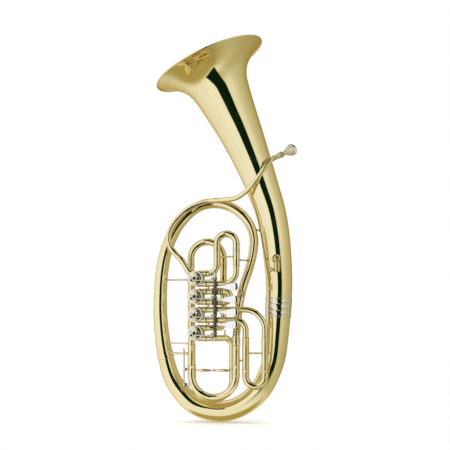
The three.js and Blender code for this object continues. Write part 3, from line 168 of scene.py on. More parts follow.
def eased(table: Outline, place: float) -> float:
    """Reads a table with a smooth curve that never overshoots its values.

    Args:
        table: Pairs of place and value, rising in place.
        place: Where to read it.

    Returns:
        The value there.
    """
    xs, ys = (np.array(column, float) for column in zip(*table))
    if place <= xs[0]:
        return float(ys[0])
    if place >= xs[-1]:
        return float(ys[-1])
    gaps = np.diff(xs)
    slopes = np.diff(ys) / gaps
    ends = np.zeros(len(xs))
    ends[0], ends[-1] = slopes[0], slopes[-1]
    for i in range(1, len(xs) - 1):
        if slopes[i - 1] * slopes[i] > 0:
            before = 2 * gaps[i] + gaps[i - 1]
            after = gaps[i] + 2 * gaps[i - 1]
            ends[i] = (before + after) / (before / slopes[i - 1] + after / slopes[i])
    i = int(np.searchsorted(xs, place)) - 1
    t = (place - xs[i]) / gaps[i]
    low = (1 + 2 * t) * (1 - t) ** 2 * ys[i] + t * (1 - t) ** 2 * gaps[i] * ends[i]
    high = t * t * (3 - 2 * t) * ys[i + 1] + t * t * (t - 1) * gaps[i] * ends[i + 1]
    return float(low + high)


def flowing(points: Sequence[Point], per_span: int) -> Point:
    """A smooth curve through points, with centripetal spacing as in the solids.

    Args:
        points: The points that the curve passes.
        per_span: Steps between one point and the next.

    Returns:
        The curve's points, one row each.
    """
    pts = [2 * points[0] - points[1], *points, 2 * points[-1] - points[-2]]
    rows = []
    for i in range(1, len(pts) - 2):
        p0, p1, p2, p3 = pts[i - 1 : i + 3]
        d0, d1, d2 = (span(a, b) ** 0.5 for a, b in ((p0, p1), (p1, p2), (p2, p3)))
        m1 = ((p1 - p0) / d0 - (p2 - p0) / (d0 + d1) + (p2 - p1) / d1) * d1
        m2 = ((p2 - p1) / d1 - (p3 - p1) / (d1 + d2) + (p3 - p2) / d2) * d1
        for k in range(per_span):
            t = k / per_span
            square, cube = 3 * (p2 - p1) - 2 * m1 - m2, 2 * (p1 - p2) + m1 + m2
            rows.append(p1 + m1 * t + square * t * t + cube * t**3)
    rows.append(pts[-2])
    return np.array(rows)


class Route:
    """A path with running distances and frames carried along without twist."""

    def __init__(self, points: Iterable[Point]) -> None:
        """Stores the path.

        Args:
            points: The path's points in order.
        """
        kept = []
        for point in points:
            if not kept or span(kept[-1], point) > SAME_PLACE:
                kept.append(point)
        self.points = np.array(kept)
        steps = np.diff(self.points, axis=0)
        lengths = np.linalg.norm(steps, axis=1)
        heads = steps / lengths[:, None]
        self.distances = np.concatenate([[0.0], np.cumsum(lengths)])
        self.length = float(self.distances[-1])
        tangents = np.vstack([heads[:1], heads[:-1] + heads[1:], heads[-1:]])
        self.tangents = tangents / np.linalg.norm(tangents, axis=1)[:, None]
        normal = RIGHT if abs(self.tangents[0][1]) > 0.9 else BACK
        normals = []
        for tangent in self.tangents:
            normal = unit(normal - tangent * (normal @ tangent))
            normals.append(normal)
        self.normals = np.array(normals)

    @classmethod
    def bent(cls, *corners: tuple[Point, float]) -> "Route":
        """Straight runs joined by arcs.

        Args:
            corners: Each corner with the radius of its arc.

        Returns:
            The path.
        """
        points = [corners[0][0]]
        for before, (corner, radius), after in zip(corners, corners[1:], corners[2:]):
            into = unit(corner - before[0])
            away = unit(after[0] - corner)
            turn = math.acos(float(np.clip(into @ away, -1, 1)))
            begin = corner - into * radius * math.tan(turn / 2)
            inward = unit(away - into * (away @ into))
            centre = begin + inward * radius
            for angle in spread(0.0, turn, max(2, round(math.degrees(turn) / ARC_STEP))):
                point = centre - inward * radius * math.cos(angle) + into * radius * math.sin(angle)
                if span(points[-1], point) > POINT_STEP:
                    points.append(point)
        return cls([*points, corners[-1][0]])

    def frame(self, distance: float) -> tuple[Point, Point, Point]:
        """The centre and two directions across the path at a distance along it.

        Args:
            distance: The distance from the path's start.

        Returns:
            The centre, the normal and the side.
        """
        i = int(np.clip(np.searchsorted(self.distances, distance) - 1, 0, len(self.points) - 2))
        share = (distance - self.distances[i]) / (self.distances[i + 1] - self.distances[i])
        share = min(1.0, max(0.0, share))
        centre, tangent, normal = (
            rows[i] * (1 - share) + rows[i + 1] * share for rows in (self.points, self.tangents, self.normals)
        )
        tangent = unit(tangent)
        normal = unit(normal - tangent * (normal @ tangent))
        return centre, normal, np.cross(tangent, normal)

    def ring(self, distance: float, radius: float, sides: int) -> Ring:
        """One ring of points round the path."""
        centre, normal, side = self.frame(distance)
        return circle(centre, normal, side, radius, sides)

    def wall(self, profile: Outline, sides: int) -> list[Ring]:
        """Rings of a round wall along the path, with stops at its own points too.

        Args:
            profile: Pairs of distance and radius.
            sides: Corners of each ring.

        Returns:
            The rings in order.
        """
        places, radii = zip(*profile)
        stops = list(profile)
        for distance in self.distances:
            if min(abs(distance - place) for place in places) > STOP_STEP:
                stops.append((distance, np.interp(distance, places, radii)))
        stops.sort(key=lambda stop: stop[0])
        return [self.ring(distance, radius, sides) for distance, radius in stops]


# Shader nodes


class Metal(Enum):
    """The record's material slots."""

    BRASS = "lacquered_brass"
    NICKEL = "nickel_silver"
    SILVER = "silver_plate"
    STEEL = "spring_steel"


class Effect(Enum):
    """Shader node groups that several finishes share."""

    TONE = "tone_drift"
    POLISH = "polishing_marks"
    HANDLING = "handling_haze"


class Tree:
    """A node tree that is filled node by node."""

    def __init__(self, tree: bpy.types.NodeTree) -> None:
        """Takes the tree to fill."""
        self.nodes = tree.nodes
        self.links = tree.links

    def feed(self, sockets: bpy.types.bpy_prop_collection, inputs: dict[str | int, Feed]) -> None:
        """Links or sets input sockets.

        Args:
            sockets: A node's inputs.
            inputs: The socket or plain value for each, by its name or number.
        """
        for key, value in inputs.items():
            if isinstance(value, Socket):
                self.links.new(value, sockets[key])
            else:
                sockets[key].default_value = value

    def add(self, kind: str, inputs: dict[str | int, Feed], **settings: object) -> bpy.types.NodeOutputs:
        """Adds a shader node.

        Args:
            kind: The node's type, without its prefix.
            inputs: What goes into its sockets.
            **settings: The node's own settings.

        Returns:
            The node's outputs.
        """
        node = self.nodes.new("ShaderNode" + kind)
        for name, value in settings.items():
            setattr(node, name, value)
        self.feed(node.inputs, inputs)
        return node.outputs

    def noise(self, vector: Socket, scale: Feed, detail: float = 2.0, **inputs: float) -> Socket:
        """The value of a noise texture at a vector, with so many octaves of detail."""
        return self.add("TexNoise", {"Vector": vector, "Scale": scale, "Detail": detail, **inputs})["Fac"]

    def maths(self, operation: str, *values: Feed, clamp: bool = False) -> Socket:
        """The result of a Math node on sockets or numbers."""
        return self.add("Math", dict(enumerate(values)), operation=operation, use_clamp=clamp)["Value"]

    def between(self, value: Socket, limits: Pair, smooth: bool = False) -> Socket:
        """A value from nought at the first limit to one at the second."""
        inputs = {"Value": value, "From Min": limits[0], "From Max": limits[1]}
        return self.add("MapRange", inputs, interpolation_type="SMOOTHSTEP" if smooth else "LINEAR")["Result"]

    def mix(self, share: Feed, first: Feed, second: Feed, blend: str = "MIX") -> Socket:
        """A mix of two colours."""
        inputs = {"Factor": share, 6: first, 7: second}
        return self.add("Mix", inputs, data_type="RGBA", blend_type=blend)[2]

    def either(self, share: Feed, first: Socket, second: Socket) -> Socket:
        """A mix of two shaders."""
        return self.add("MixShader", {0: share, 1: first, 2: second})[0]


class Group(Tree):
    """A node group with named sockets."""

    def __init__(self, effect: Effect, inputs: dict[str, Feed], outputs: dict[str, str]) -> None:
        """Starts the group.

        Args:
            effect: The effect, which names the group.
            inputs: Default of each input; its length tells a colour from a vector and a number.
            outputs: Type of each output.
        """
        group = bpy.data.node_groups.new(effect.value, "ShaderNodeTree")
        super().__init__(group)
        for name, value in inputs.items():
            kind = {3: "Vector", 4: "Color"}[len(value)] if isinstance(value, tuple) else "Float"
            socket = group.interface.new_socket(name=name, in_out="INPUT", socket_type=f"NodeSocket{kind}")
            socket.default_value = value
        for name, kind in outputs.items():
            group.interface.new_socket(name=name, in_out="OUTPUT", socket_type=f"NodeSocket{kind}")
        self.entry = self.nodes.new("NodeGroupInput").outputs
        self.leave = self.nodes.new("NodeGroupOutput").inputs

    @classmethod
    def tone(cls) -> None:
        """Slow drift between two tones, and a tarnish that gathers in fine clouds."""
        drift_limits = (0.35, 0.68)
        cloud_scale, cloud_detail, cloud_limits = 75.0, 8.0, (0.56, 0.74)
        group = cls(
            Effect.TONE,
            {
                "Vector": (0.0, 0.0, 0.0), "Light": (1, 1, 1, 1), "Deep": (0.5, 0.5, 0.5, 1),
                "Tarnish": (0.2, 0.2, 0.2, 1), "Drift Scale": 9.0, "Tarnish Amount": 0.2,
            },
            {"Color": "Color", "Mask": "Float"},
        )
        entry = group.entry
        drift = group.noise(entry["Vector"], entry["Drift Scale"], 3.0)
        tones = group.mix(group.between(drift, drift_limits), entry["Light"], entry["Deep"])
        cloud = group.noise(entry["Vector"], cloud_scale, cloud_detail, Roughness=0.62)
        gathered = group.between(cloud, cloud_limits)
        amount = group.maths("MULTIPLY", gathered, entry["Tarnish Amount"])
        group.feed(group.leave, {"Color": group.mix(amount, tones, entry["Tarnish"]), "Mask": gathered})

    @classmethod
    def polish(cls) -> None:
        """Fine lines that a polishing wheel leaves, as a height."""
        line_height, wave_scale, wave_detail = 0.12, 22.0, 1.0
        group = cls(
            Effect.POLISH,
            {"Vector": (0.0, 0.0, 0.0), "Stretch": (1.0, 1.0, 14.0), "Scale": 260.0},
            {"Height": "Float"},
        )
        entry = group.entry
        stretched = group.add("VectorMath", {0: entry["Vector"], 1: entry["Stretch"]}, operation="MULTIPLY")
        lines = group.noise(stretched["Vector"], entry["Scale"], 4.0)
        waves = group.noise(entry["Vector"], wave_scale, wave_detail)
        group.feed(group.leave, {"Height": group.maths("MULTIPLY_ADD", lines, line_height, waves)})

    @classmethod
    def handling(cls) -> None:
        """Roughness that rises in smudges and specks where hands have been."""
        smudge_detail, smudge_limits = 5.0, (0.48, 0.8)
        group = cls(
            Effect.HANDLING,
            {"Vector": (0.0, 0.0, 0.0), "Clean": 0.06, "Smudged": 0.18, "Scale": 34.0},
            {"Roughness": "Float", "Mask": "Float"},
        )
        entry = group.entry
        smudge = group.noise(entry["Vector"], entry["Scale"], smudge_detail, Distortion=0.8)
        gathered = group.between(smudge, smudge_limits)
        limits = {"To Min": entry["Clean"], "To Max": entry["Smudged"]}
        rough = group.add("MapRange", {"Value": gathered, **limits})
        group.feed(group.leave, {"Roughness": rough["Result"], "Mask": gathered})


def shared(effect: Effect) -> bpy.types.NodeTree:
    """The node group of an effect, built when it is first asked for.

    Args:
        effect: The effect.

    Returns:
        The node group.
    """
    if effect.value not in bpy.data.node_groups:
        {Effect.TONE: Group.tone, Effect.POLISH: Group.polish, Effect.HANDLING: Group.handling}[effect]()
    return bpy.data.node_groups[effect.value]


# Finishes


@dataclass(frozen=True)
class Finish:
    """A metal finish with tone drift, polishing marks and handling haze."""

    name: str
    light: Triple
    deep: Triple
    tarnish: Triple
    tarnish_amount: float
    clean: float = 0.05
    smudged: float = 0.14
    lacquer: float = 0.0
    metallic: float = 1.0
    stretch: Triple = (1.0, 1.0, 14.0)
    relief: float = 0.04
    bump: float = 0.35
    lacquer_roughness: float = 0.03
    specular: float = 0.5
    edge: Triple = (1.0, 1.0, 1.0)
    metal: Optional[Metal] = None

    def material(self) -> bpy.types.Material:
        """Builds the material once and hands it out again.

        Returns:
            The material.
        """
        if self.name in bpy.data.materials:
            return bpy.data.materials[self.name]
        material = bpy.data.materials.new(self.name)
        material.use_nodes = True
        tree = Tree(material.node_tree)
        place = tree.add("TexCoord", {})["Object"]
        colours = {"Light": (*self.light, 1), "Deep": (*self.deep, 1), "Tarnish": (*self.tarnish, 1)}
        tone, haze, marks = (
            tree.add("Group", {"Vector": place, **inputs}, node_tree=shared(effect))
            for effect, inputs in (
                (Effect.TONE, {**colours, "Tarnish Amount": self.tarnish_amount}),
                (Effect.HANDLING, {"Clean": self.clean, "Smudged": self.smudged}),
                (Effect.POLISH, {"Stretch": self.stretch}),
            )
        )
        relief = {"Strength": self.bump, "Distance": self.relief * MM, "Height": marks["Height"]}
        tree.feed(tree.nodes["Principled BSDF"].inputs, {
            "Base Color": tone["Color"],
            "Metallic": self.metallic,
            "Roughness": haze["Roughness"],
            "Normal": tree.add("Bump", relief)["Normal"],
            "Coat Weight": self.lacquer,
            "Coat Roughness": self.lacquer_roughness,
            "Specular IOR Level": self.specular,
            "Specular Tint": (*self.edge, 1),
        })
        return material


BRASS = Finish(
    "lacquered_yellow_brass", (0.88, 0.78, 0.465), (0.85, 0.735, 0.40), (0.62, 0.46, 0.18), 0.16,
    lacquer=0.1, edge=(0.72, 0.55, 0.22), metal=Metal.BRASS,
)
# Darker brass: handling wear on the stays and plates, and painted shade on the lyre barrel.
WORN_AND_SHADED_BRASS = Finish(
    "handled_and_shaded_brass", (0.78, 0.62, 0.30), (0.66, 0.48, 0.20), (0.42, 0.27, 0.10), 0.5, 0.09, 0.24,
    lacquer=0.1, edge=(0.62, 0.44, 0.18), metal=Metal.BRASS,
)
NICKEL = Finish(
    "polished_nickel_silver", (0.80, 0.755, 0.595), (0.76, 0.71, 0.54), (0.48, 0.42, 0.27), 0.2,
    lacquer=0.1, edge=(0.55, 0.50, 0.38), metal=Metal.NICKEL,
)
TURNED_NICKEL = Finish(
    "turned_nickel_silver", (0.86, 0.81, 0.58), (0.83, 0.77, 0.52), (0.64, 0.57, 0.38), 0.1, 0.12, 0.2,
    edge=(0.60, 0.55, 0.44), metal=Metal.NICKEL,
)
SILVER = Finish(
    "polished_silver_plate", (0.94, 0.92, 0.84), (0.92, 0.895, 0.81), (0.62, 0.58, 0.48), 0.08,
    edge=(0.55, 0.54, 0.50), metal=Metal.SILVER,
)
STEEL = Finish(
    "oiled_spring_steel", (0.30, 0.29, 0.25), (0.22, 0.21, 0.18), (0.12, 0.09, 0.06), 0.4, 0.2, 0.34,
    metal=Metal.STEEL,
)
DARK_SCREW = Finish(
    "blued_screw_steel", (0.10, 0.10, 0.09), (0.06, 0.06, 0.06), (0.03, 0.02, 0.02), 0.3, 0.2, 0.32,
)
CORK = Finish(
    "oiled_cork", (0.075, 0.05, 0.03), (0.045, 0.03, 0.018), (0.02, 0.012, 0.008), 0.6, 0.7, 0.9,
    metallic=0.0, stretch=(1.0, 1.0, 1.0), relief=0.6, specular=0.2,
)
# Near-black hub nickel: painted shade for the dark axle column of the levers.
PAINTED_SHADE_HUB = Finish("hub_nickel_painted_shade", (0.17, 0.16, 0.12), (0.11, 0.10, 0.07), (0.06, 0.05, 0.03), 0.45, 0.16, 0.3)
BRONZE = Finish("bronze_collar", (0.66, 0.43, 0.20), (0.55, 0.32, 0.13), (0.30, 0.17, 0.08), 0.4, 0.12, 0.24)


# Meshes


@dataclass
class Maker:
    """Gathers the faces of one piece after another, each face with the number of its finish."""

    verts: list[Point] = field(default_factory=list, init=False)
    faces: list[list[int]] = field(default_factory=list, init=False)
    marks: list[int] = field(default_factory=list, init=False)

    def put(self, verts: Sequence[Point], faces: Iterable[Sequence[int]], mark: int) -> None:
        """Adds vertices and the faces among them.

        Args:
            verts: The vertices.
            faces: Numbers of each face's vertices.
            mark: Number of the finish.
        """
        base = len(self.verts)
        self.verts.extend(verts)
        for face in faces:
            self.faces.append([base + i for i in face])
            self.marks.append(mark)

    def rings(self, rings: Sequence[Ring], mark: int = 0, loop: bool = False) -> None:
        """Joins rings of equal count into a closed skin.

        Args:
            rings: The rings in order.
            mark: Number of the finish.
            loop: Whether the last ring joins the first. If not, both ends are capped.
        """
        count, sides = len(rings), len(rings[0])
        faces = []
        for i in range(count if loop else count - 1):
            a, b = i * sides, (i + 1) % count * sides
            for k in range(sides):
                n = (k + 1) % sides
                faces.append((a + k, a + n, b + n, b + k))
        if not loop:
            faces += [range(sides - 1, -1, -1), range((count - 1) * sides, count * sides)]
        self.put([point for ring in rings for point in ring], faces, mark)

    def sweep(
        self, route: Route, outer: Outline, sides: int, mark: int = 0, inner: Optional[Outline] = None
    ) -> None:
        """A round wall along a route, solid or with a bore.

        Args:
            route: The path of the middle.
            outer: Pairs of distance and radius.
            sides: Corners of each ring.
            mark: Number of the finish.
            inner: Pairs for the bore, if the piece is hollow.
        """
        rings = route.wall(outer, sides)
        if inner:
            rings += reversed(route.wall(inner, sides))
        self.rings(rings, mark, loop=bool(inner))

    def turned(self, outline: Outline, origin: Point, heading: Point, sides: int, mark: int = 0) -> None:
        """A turned form from pairs of radius and height above the origin along a heading.

        Args:
            outline: Pairs in order; a form with a bore ends where it began.
            origin: The foot of the axis.
            heading: The axis.
            sides: Corners of each ring.
            mark: Number of the finish.
        """
        heading, across, along = axes(heading)
        area = sum(a[0] * b[1] - b[0] * a[1] for a, b in zip(outline, [*outline[1:], outline[0]]))
        rings = [
            circle(origin + heading * height, across, along, max(radius, TIP_RADIUS), sides)
            for radius, height in outline
        ]
        self.rings(rings if area > 0 else rings[::-1], mark, loop=min(radius for radius, _ in outline) > 0)

    def plate(self, outline: Sequence[Point], across: Point) -> None:
        """A flat plate.

        Args:
            outline: Corners of one face.
            across: The step to the other face.
        """
        count = len(outline)
        faces = [range(count), range(2 * count - 1, count - 1, -1)]
        faces += [(k, k + count, (k + 1) % count + count, (k + 1) % count) for k in range(count)]
        self.put([*outline, *(point + across for point in outline)], faces, 0)

    def knurls(self, origin: Point, heading: Point, radius: float, edges: Pair, teeth: int) -> None:
        """A knurled band, whose ribs run along its axis.

        Args:
            origin: The foot of the axis.
            heading: The axis.
            radius: Radius at the ribs' tips.
            edges: Heights of the band's lower and upper edge.
            teeth: Number of ribs.
        """
        (low, high), bevel, bevel_depth = edges, 0.4, 1.4
        heading, across, along = axes(heading)
        depth = min(0.5, math.pi * radius / teeth * 0.6)
        rings = []
        for height, share in ((low, bevel_depth), (low + bevel, 0), (high - bevel, 0), (high, bevel_depth)):
            ring = []
            for k, angle in enumerate(turns(2 * teeth)):
                reach = radius - depth * max(share, k % 2)
                out = across * math.cos(angle) + along * math.sin(angle)
                ring.append(origin + heading * height + reach * out)
            rings.append(ring)
        self.rings(rings)

    def piece(
        self,
        name: str,
        replaces: Sequence[str],
        finishes: Sequence[Finish] = (BRASS,),
        body: str = "instrument",
        bevel: float = 0.0,
        crease: float = 38.0,
    ) -> None:
        """Makes an object of the faces gathered, dresses it and lets it ride.

        Args:
            name: The piece's name.
            replaces: Solids that it stands for.
            finishes: One finish per mark.
            body: Name of the body that it rides on.
            bevel: Width of rounded edges in millimetres, or none.
            crease: Edges sharper than this many degrees stay crisp.
        """
        mesh = bpy.data.meshes.new(name)
        mesh.from_pydata([tuple(v * MM) for v in self.verts], [], self.faces)
        for finish in finishes:
            mesh.materials.append(finish.material())
        mesh.polygons.foreach_set("material_index", self.marks)
        mesh.validate()
        shell = bmesh.new()
        shell.from_mesh(mesh)
        bmesh.ops.recalc_face_normals(shell, faces=shell.faces)
        shell.to_mesh(mesh)
        shell.free()
        mesh.shade_smooth()
        mesh.set_sharp_from_angle(angle=math.radians(crease))
        piece = bpy.data.objects.new(name, mesh)
        bpy.context.scene.collection.objects.link(piece)
        if bevel > 0:
            rounding = piece.modifiers.new("rounded_edges", "BEVEL")
            rounding.width = bevel * MM
            rounding.segments = 3
            rounding.limit_method = "ANGLE"
            rounding.angle_limit = math.radians(crease)
            rounding.harden_normals = True
        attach(piece, body)
        if replaces:
            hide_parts(*replaces)
        LOG.info("%s on %s, %d faces", name, body, len(self.faces))
        self.verts, self.faces, self.marks = [], [], []


# Shared places


@dataclass(frozen=True)
class Layout:
    """Datum places and tube sizes that the sub-assemblies share, in millimetres."""

    body_height: float = 747.6
    plane_y: float = -40.0
    valve_x: float = -47.5
    valve_top: float = 291.5
    pitch: float = 36.7
    port_offset: float = 10.4
    port_reach: float = 22.3
    line_offset: float = 9.0
    tube: float = 6.1
    wall: float = 0.6
    fit: float = 0.3
    gap: float = 0.3
    main_tube: float = 6.8
    main_width: float = 90.7
    main_top: float = 156.0
    main_sleeve_end: float = 117.0
    insert: float = 28.0
    stay: float = 1.5
    axle_x: float = -6.5
    axle_y: float = -52.5
    stack_top: float = 292.5
    stack_bottom: float = 174.5
    hub: float = 3.0
    collar_height: float = 2.0
    stop_base: float = 18.7
    crank: float = 6.2
    lever_arm: float = 22.0
    pin: float = 1.2
    eye_height: float = 3.0

    @property
    def sleeve(self) -> float:
        """Outer radius of a slide's sleeve."""
        return self.tube + self.fit + self.wall

    @property
    def main_sleeve(self) -> float:
        """Outer radius of the main slide's sleeves."""
        return self.main_tube + self.fit + self.wall

    @property
    def line_x(self) -> float:
        """Place of the tube that joins the valves."""
        return self.valve_x - self.line_offset

    @property
    def right_x(self) -> float:
        """Place of the main slide's right leg."""
        return self.line_x + self.main_width

    @property
    def port_x(self) -> float:
        """Where the valves' ports end."""
        return self.valve_x + self.port_reach

    @property
    def crank_side(self) -> float:
        """The crank pin's offset in each direction."""
        return self.crank * math.sqrt(0.5)

    @property
    def swing(self) -> float:
        """The levers' travel in radians."""
        return 2 * math.asin(self.crank_side / self.lever_arm)

    @property
    def link_y(self) -> float:
        """Depth of the links."""
        return self.axle_y - self.lever_arm * math.cos(self.swing / 2)

    def valve_z(self, index: int) -> float:
        """Height of a valve's middle."""
        return self.valve_top - index * self.pitch

    def valve(self, index: int) -> Point:
        """Middle of a valve."""
        return at(self.valve_x, self.plane_y, self.valve_z(index))

    def link_z(self, index: int) -> float:
        """Height of a link."""
        return self.valve_z(index) - self.crank_side

    def port(self, index: int, side: int) -> Point:
        """Where a port ends: side is 1 for the upper and -1 for the lower one."""
        return at(self.port_x, self.plane_y, self.valve_z(index) + side * self.port_offset)

    def scaled(self, x: float, depth: float, z: float) -> Point:
        """A point from shares of the body's height and of the valves' depth."""
        return at(x * self.body_height, depth * self.plane_y, z * self.body_height)


def ringed(length: float, radius: float, rings: Sequence[Triple], edge: float = 0.4) -> list[Pair]:
    """Profile of a cylinder with beads and grooves round it.

    Args:
        length: The cylinder's length.
        radius: Its plain radius.
        rings: Place, half width and rise of each bead; a groove has a negative rise.
        edge: How much both ends are broken.

    Returns:
        Pairs of distance and radius.
    """
    profile = [(0.0, radius - edge), (edge, radius), (length - edge, radius), (length, radius - edge)]
    for place, half, rise in rings:
        for share in spread(-1.0, 1.0, 8):
            profile.append((place + half * share, radius + rise * math.cos(share * math.pi / 2)))
    return sorted(profile)


def footed(length: float, radius: float, foot: float) -> list[Pair]:
    """Outline of a stay with a turned foot and a ring at both ends.

    Args:
        length: The stay's length.
        radius: Its radius.
        foot: Radius of its feet.

    Returns:
        Pairs of radius and height.
    """
    short, ring, neck = 14, radius * 1.35, radius * 1.15
    half = [(0.0, 0.0), (foot, 0.0), (foot, 0.7), (foot * 0.8, 1.2)]
    if length < short:
        half += [(neck, min(2.2, length * 0.3)), (radius, min(3.2, length * 0.4))]
    else:
        half += [(neck, 2.2), (radius, 3.2), (radius, 4.4), (ring, 4.9), (ring, 5.6), (radius, 6.1)]
    return mirrored(half, length)


# The body's tube


@dataclass
class BodyTube(Maker):
    """Bell, bottom bow and main branch with their ferrules, one conical tube."""

    layout: Layout
    rim: float = 121.5
    bell_end_radius: float = 26.0
    bow_end_radius: float = 16.0
    branch_end_radius: float = 7.4
    bell_end_height_share: float = 0.3122
    bow_end_height_share: float = 0.182
    wall: float = 0.9
    bead: float = 1.9
    bell_ferrule_length: float = 40.0
    bow_ferrule_length: float = 18.0
    branch_ferrule_length: float = 14.0
    plates: Sequence[Pair] = ((261.8, 7.4), (184.7, 4.2))
    plate_shares: Pair = (0.82, 0.995)
    bell_end_shares: Pair = (0.05, 0.32)
    bow_end_shares: Pair = (0.5, 0.62)
    halvings: int = 60
    route_shares: Sequence[Triple] = (
        (-0.0371, 0, 1), (0.0036, 0, 0.909), (0.0543, 0, 0.7968), (0.0938, 0, 0.6989), (0.1154, 0, 0.6383),
        (0.1355, 0, 0.577), (0.1481, 0, 0.5103), (0.155, 0, 0.4436), (0.1586, 0, 0.3767), (0.1562, 0, 0.31),
        (0.152, 0, 0.2456), (0.1435, 0, 0.172), (0.1265, 0, 0.1235), (0.1037, 0, 0.085), (0.0602, 0, 0.0475),
        (0, 0, 0.0284), (-0.073, 0, 0.0432), (-0.1145, 0, 0.0806), (-0.1402, 0, 0.119), (-0.1631, 0, 0.2012),
        (-0.1731, 0, 0.2877), (-0.1734, 0, 0.3545), (-0.1689, 0, 0.4157), (-0.1575, 0, 0.471),
        (-0.1345, 0, 0.525), (-0.1, 0, 0.569), (-0.065, 0, 0.594), (-0.025, 0, 0.6022), (0.015, 0, 0.595),
        (0.05, 0, 0.574), (0.0765, 0, 0.543), (0.0885, 0, 0.506), (0.0875, 0.03, 0.469),
        (0.0775, 0.12, 0.422), (0.063, 0.28, 0.3765), (0.0535, 0.43, 0.333), (0.049, 0.56, 0.293),
        (0.0468, 0.73, 0.256),
    )
    flare_shares: Outline = (
        (0, 1), (0.011, 0.9), (0.026, 0.754), (0.043, 0.618), (0.063, 0.503), (0.089, 0.414), (0.115, 0.361),
        (0.154, 0.319), (0.193, 0.285), (0.26, 0.23), (0.34, 0.178), (0.45, 0.117), (0.55, 0.079),
        (0.66, 0.051), (0.78, 0.033), (0.9, 0.012), (1, 0),
    )
    bow_shares: Outline = ((0, 1), (0.09, 0.91), (0.2, 0.74), (0.3, 0.6), (0.6, 0.5), (0.78, 0.28), (1, 0))
    branch_shares: Outline = (
        (0, 1), (0.11, 0.81), (0.24, 0.67), (0.35, 0.57), (0.53, 0.33), (0.8, 0.16), (1, 0),
    )
    line: Route = field(init=False)
    bell_end: float = field(init=False)
    bow_end: float = field(init=False)

    def __post_init__(self) -> None:
        """Draws the centreline and finds where its pieces meet."""
        lay = self.layout
        foot = at(lay.right_x, lay.plane_y, lay.main_top + 2 * lay.gap)
        shaped = (lay.scaled(*share) for share in self.route_shares)
        self.line = Route(flowing([*shaped, foot + UP * self.branch_ferrule_length, foot], 40))
        self.bell_end = self.place_at(self.bell_end_height_share * lay.body_height, self.bell_end_shares)
        self.bow_end = self.place_at(self.bow_end_height_share * lay.body_height, self.bow_end_shares)

    def place_at(self, height: float, shares: Pair) -> float:
        """Finds where the tube passes a height.

        Args:
            height: The height.
            shares: Shares of the tube's length between which it is passed once.

        Returns:
            The distance along the tube.
        """
        low, high = (share * self.line.length for share in shares)
        rising = self.centre(high)[2] > self.centre(low)[2]
        for _ in range(self.halvings):
            middle = (low + high) / 2
            if (self.centre(middle)[2] < height) == rising:
                low = middle
            else:
                high = middle
        return low

    def centre(self, place: float) -> Point:
        """The tube's middle at a distance along it."""
        return self.line.frame(place)[0]

    def radius(self, place: float) -> float:
        """The tube's outer radius at a distance along it.

        Args:
            place: The distance.

        Returns:
            The radius.
        """
        stretches = (
            (0.0, self.bell_end, self.rim, self.bell_end_radius, self.flare_shares),
            (self.bell_end, self.bow_end, self.bell_end_radius, self.bow_end_radius, self.bow_shares),
            (self.bow_end, self.line.length, self.bow_end_radius, self.branch_end_radius, self.branch_shares),
        )
        for start, end, wide, narrow, shares in stretches:
            if place <= end:
                break
        return narrow + (wide - narrow) * eased(shares, (place - start) / (end - start))

    def tube(self, start: float, end: float, step: float, sides: int) -> None:
        """An open stretch of the tube.

        Args:
            start: Distance where it starts.
            end: Distance where it ends.
            step: Distance from ring to ring.
            sides: Corners of each ring.
        """
        places = spread(start, end, max(3, round((end - start) / step)))
        rings = [self.line.ring(place, self.radius(place), sides) for place in places]
        rings += [self.line.ring(place, self.radius(place) - self.wall, sides) for place in reversed(places)]
        self.rings(rings, loop=True)

    def build(self) -> None:
        """Builds and dresses the body's pieces."""
        half_gap = self.layout.gap / 2
        self.build_bell()
        self.tube(self.bell_end + half_gap, self.bow_end - half_gap, 5.0, 80)
        self.piece("bottom_bow_skin", ["bottom_bow"])
        self.tube(self.bow_end + half_gap, self.line.length, 4.5, 56)
        self.add_plates()
        self.piece("main_branch_skin", ["main_branch"], [BRASS, WORN_AND_SHADED_BRASS])
        self.build_ferrules()

    def build_bell(self) -> None:
        """The bell: its flare, its wall and the edge rolled over a wire."""
        crowding = 1.9
        end = self.bell_end - self.layout.gap / 2
        start = 1.35 * self.bead
        places = [start + (end - start) * share**crowding for share in spread(0.0, 1.0, 110)]
        outer = [(place, self.radius(place)) for place in places]
        inner = []
        for (place, radius), before, after in zip(outer, [outer[0], *outer], [*outer[1:], outer[-1]]):
            along, fall = after[0] - before[0], after[1] - before[1]
            size = math.hypot(along, fall)
            inner.append((place + self.wall * fall / size, radius - self.wall * along / size))
        bead = []
        for degrees in range(250, -71, -16):
            angle = math.radians(degrees)
            bead.append((self.bead * (1 + math.cos(angle)), self.rim - self.bead * (1 - math.sin(angle))))
        section = [*outer, *reversed(inner), *bead]
        self.rings([self.line.ring(place, radius, 144) for place, radius in section], loop=True)
        self.piece("bell_skin", ["bell"], crease=50)

    def build_ferrules(self) -> None:
        """The ferrules, with the turned lines that run round them."""
        gap = self.layout.gap
        length, groove = self.bell_ferrule_length, 6.7
        lines = [
            (1.2, 0.9, 0.22), (3.0, 0.5, -0.2), (length / 2 - groove, 0.6, -0.3),
            (length / 2 + groove, 0.6, -0.3), (length - 3.0, 0.5, -0.2), (length - 1.2, 0.9, 0.22),
        ]
        self.band(self.bell_end, length, lines, gap, 0.6, 80)
        self.piece("bell_ferrule_band", ["bell_ferrule"], [NICKEL])
        length = self.bow_ferrule_length
        lines = [(1.0, 0.6, 0.12), (length - 1.0, 0.6, 0.12)]
        self.band(self.bow_end, length, lines, gap, 0.3, 72)
        self.piece("bow_ferrule_band", ["bow_ferrule"])
        length = self.branch_ferrule_length
        lines = [(1.2, 1.0, 0.3), (3.6, 0.5, -0.25), (length - 1.2, 1.0, 0.3)]
        self.band(self.line.length - length / 2 - gap, length, lines, 2 * gap, 0.7, 56)
        self.piece("branch_ferrule_band", ["branch_ferrule"])

